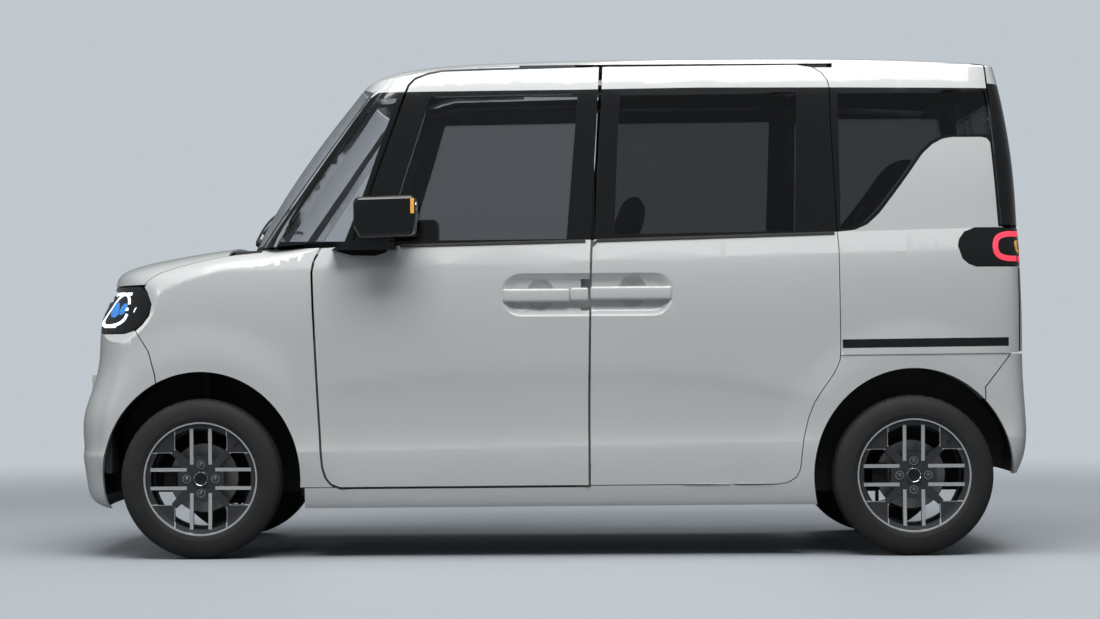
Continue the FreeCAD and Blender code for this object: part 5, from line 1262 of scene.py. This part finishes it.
class CAR_OT_cabin(bpy.types.Operator):
    """Fit the dashboard's display, vents and glove-box lid"""

    bl_idname = "car.cabin"
    bl_label = "Cabin trim"

    def execute(self, context):
        dash = Skin("dashboard").end(1)
        screen = rounded_outline((-0.13, 0.13), (0.930, 1.030), 0.012, 5)
        new_piece(patch(screen, 0.006, dash), "centre_display", "car_body", "gloss_black")
        vents = []
        for y in (-0.52, -0.20, 0.20, 0.56):
            outline = rounded_outline((y - 0.045, y + 0.045), (0.900, 0.925), 0.010, 5)
            vents.append(patch(outline, 0.004, dash))
        new_piece(merged(*vents), "air_vents", "car_body", "gloss_black")
        knee = rounded_outline((-0.48, -0.22), (0.800, 0.870), 0.015, 5)
        new_piece(patch(knee, 0.005, dash), "glove_box_lid", "car_body", "pale_plastic")
        return {"FINISHED"}


# The studio: the floor's size and fade, the lamps, and the camera's place and lens in the picture's pixels
FLOOR_RADIUS = 60.0
FLOOR_FADE = (2.5, 6.5)
FILL_GLOW, SEEN_GLOW = 0.25, 1.0
LIGHTS = (
    # name, place, aim, size, power, tint
    ("overhead_softbox", (0.0, -1.2, 5.4), (0.0, 0.0, 0.6), (6.0, 2.8), 165.0, (1.0, 1.0, 1.0)),
    ("front_softbox", (-7.0, -3.0, 3.8), (0.0, 0.0, 0.7), (3.0, 2.6), 90.0, (0.97, 0.99, 1.0)),
    ("near_softbox", (0.3, -6.0, 8.2), (0.0, 0.0, 0.7), (7.0, 3.0), 500.0, (1.0, 1.0, 1.0)),
    ("back_softbox", (2.5, 4.6, 4.8), (0.0, 0.0, 0.8), (5.0, 2.2), 60.0, (0.97, 0.99, 1.0)),
)
CAMERA_PLACE = (0.0445, -10.21, 0.708)
CAMERA_ROLL = 0.32
SENSOR = 36.0
FOCAL = 2713.0
PICTURE_WIDTH = 1100.0
PICTURE_MIDDLE = (550.0, 309.5)
LEVEL_POINT = (562.0, 355.0)


class CAR_OT_stage(bpy.types.Operator):
    """Build the pale floor and backdrop, the soft lights and the camera"""

    bl_idname = "car.stage"
    bl_label = "Stage"

    def execute(self, context):
        self.floor(context)
        self.lights()
        self.camera(context)
        self.world(context)
        context.scene.view_settings.view_transform = "Standard"
        return {"FINISHED"}

    @staticmethod
    def floor(context):
        """A round floor that fades into the backdrop's colour far from the car, with painted shade: the car
        reflects and is lit by the floor at 0.35 of the colour that the camera sees.
        """
        shape = bmesh.new()
        bmesh.ops.create_circle(shape, cap_ends=True, segments=96, radius=FLOOR_RADIUS)
        sheet = as_object(shape, "floor")
        color = tuple(context.scene.car_shades.floor)
        finish = Finish("studio_floor", color, Roughness=0.5)
        rays = finish.node("ShaderNodeLightPath").outputs
        seen = Value(finish, rays["Is Camera Ray"]).most(Value(finish, rays["Is Transmission Ray"]))
        pale = finish.mix(finish.noise(0.8), shade(color, 0.985), shade(color, 1.015))
        # Painted shade: rays from the car meet a floor at 0.35 of its colour, while camera and transmission
        # rays see it pale
        finish.feed("Base Color", finish.mix(seen, shade(color, 0.35), pale))
        x, y, _ = finish.place()
        start, length = FLOOR_FADE
        share = (((x * x + y * y).math("SQRT") - start) / length).most(0.0).least(1.0)
        share = share * share * (3.0 - 2.0 * share)
        strength = {"Color": (*BACKDROP, 1.0), "Strength": seen * 0.8 + 0.2}
        glow = finish.node("ShaderNodeEmission", None, strength)
        inputs = {0: share, 1: Value(finish, finish.shader.outputs[0]), 2: Value(finish, glow.outputs[0])}
        mixed = finish.node("ShaderNodeMixShader", None, inputs)
        finish.tree.links.new(mixed.outputs[0], finish.tree.nodes["Material Output"].inputs["Surface"])
        sheet.data.materials.append(finish.material)

    @staticmethod
    def lights():
        for name, place, aim, size, power, tint in LIGHTS:
            lamp = bpy.data.lights.new(name, "AREA")
            lamp.shape = "RECTANGLE"
            lamp.size, lamp.size_y = size
            lamp.energy = power
            lamp.color = tint
            light = bpy.data.objects.new(name, lamp)
            light.location = place
            light.rotation_euler = (Vector(aim) - Vector(place)).to_track_quat("-Z", "Y").to_euler()
            bpy.context.scene.collection.objects.link(light)

    @staticmethod
    def camera(context):
        lens = bpy.data.cameras.new("camera")
        lens.sensor_width = SENSOR
        lens.lens = FOCAL / PICTURE_WIDTH * SENSOR
        lens.dof.use_dof = False
        camera = bpy.data.objects.new("camera", lens)
        yaw, pitch = (math.atan((a - b) / FOCAL) for a, b in zip(LEVEL_POINT, PICTURE_MIDDLE))
        view = Matrix.Rotation(yaw, 4, "Z") @ Matrix.Rotation(math.pi / 2 + pitch, 4, "X")
        view = view @ Matrix.Rotation(-math.radians(CAMERA_ROLL), 4, "Z")
        camera.matrix_world = Matrix.Translation(CAMERA_PLACE) @ view
        context.scene.collection.objects.link(camera)
        context.scene.camera = camera

    @staticmethod
    def world(context):
        """A grey-blue backdrop to the camera and through glass, and a dimmer fill light."""
        world = bpy.data.worlds.new("studio")
        world.use_nodes = True
        nodes = world.node_tree.nodes
        fill, seen = nodes["Background"], nodes.new("ShaderNodeBackground")
        for glow, strength in ((fill, FILL_GLOW), (seen, SEEN_GLOW)):
            glow.inputs["Color"].default_value = (*BACKDROP, 1.0)
            glow.inputs["Strength"].default_value = strength
        rays, either = nodes.new("ShaderNodeLightPath"), nodes.new("ShaderNodeMath")
        either.operation = "MAXIMUM"
        mixed = nodes.new("ShaderNodeMixShader")
        for source, target in (
            (rays.outputs["Is Camera Ray"], either.inputs[0]),
            (rays.outputs["Is Transmission Ray"], either.inputs[1]),
            (either.outputs[0], mixed.inputs[0]),
            (fill.outputs[0], mixed.inputs[1]),
            (seen.outputs[0], mixed.inputs[2]),
            (mixed.outputs[0], nodes["World Output"].inputs["Surface"]),
        ):
            world.node_tree.links.new(source, target)
        context.scene.world = world


class CAR_PT_panel(bpy.types.Panel):
    """Lists the car's colours and sizes, and the steps that build it"""

    bl_idname = "CAR_PT_panel"
    bl_label = "Small tall wagon"
    bl_space_type = "VIEW_3D"
    bl_region_type = "UI"
    bl_category = "Car"

    def draw(self, context):
        column = self.layout.column()
        for group in (getattr(context.scene, key) for key in GROUPS):
            for name in group.bl_rna.properties.keys():
                if name not in ("rna_type", "name"):
                    column.prop(group, name)
        for operator in OPERATORS:
            column.operator(operator.bl_idname)


OPERATORS = [
    CAR_OT_finishes,
    CAR_OT_tyres,
    CAR_OT_wheel_trim,
    CAR_OT_doors,
    CAR_OT_flanks,
    CAR_OT_side_trim,
    CAR_OT_lamps,
    CAR_OT_ends,
    CAR_OT_seats,
    CAR_OT_cabin,
    CAR_OT_stage,
]
GROUPS = {"car_shades": CAR_PG_shades, "car_wheels": CAR_PG_wheels, "car_lamps": CAR_PG_lamps}


def register():
    for name, group in GROUPS.items():
        bpy.utils.register_class(group)
        setattr(bpy.types.Scene, name, PointerProperty(type=group))
    for operator in OPERATORS:
        bpy.utils.register_class(operator)
    bpy.utils.register_class(CAR_PT_panel)


def unregister():
    bpy.utils.unregister_class(CAR_PT_panel)
    for operator in reversed(OPERATORS):
        bpy.utils.unregister_class(operator)
    for name, group in GROUPS.items():
        delattr(bpy.types.Scene, name)
        bpy.utils.unregister_class(group)


def main():
    """Builds the car step by step."""
    register()
    for operator in OPERATORS:
        area, name = operator.bl_idname.split(".")
        getattr(getattr(bpy.ops, area), name)()


if __name__ == "__main__":
    main()
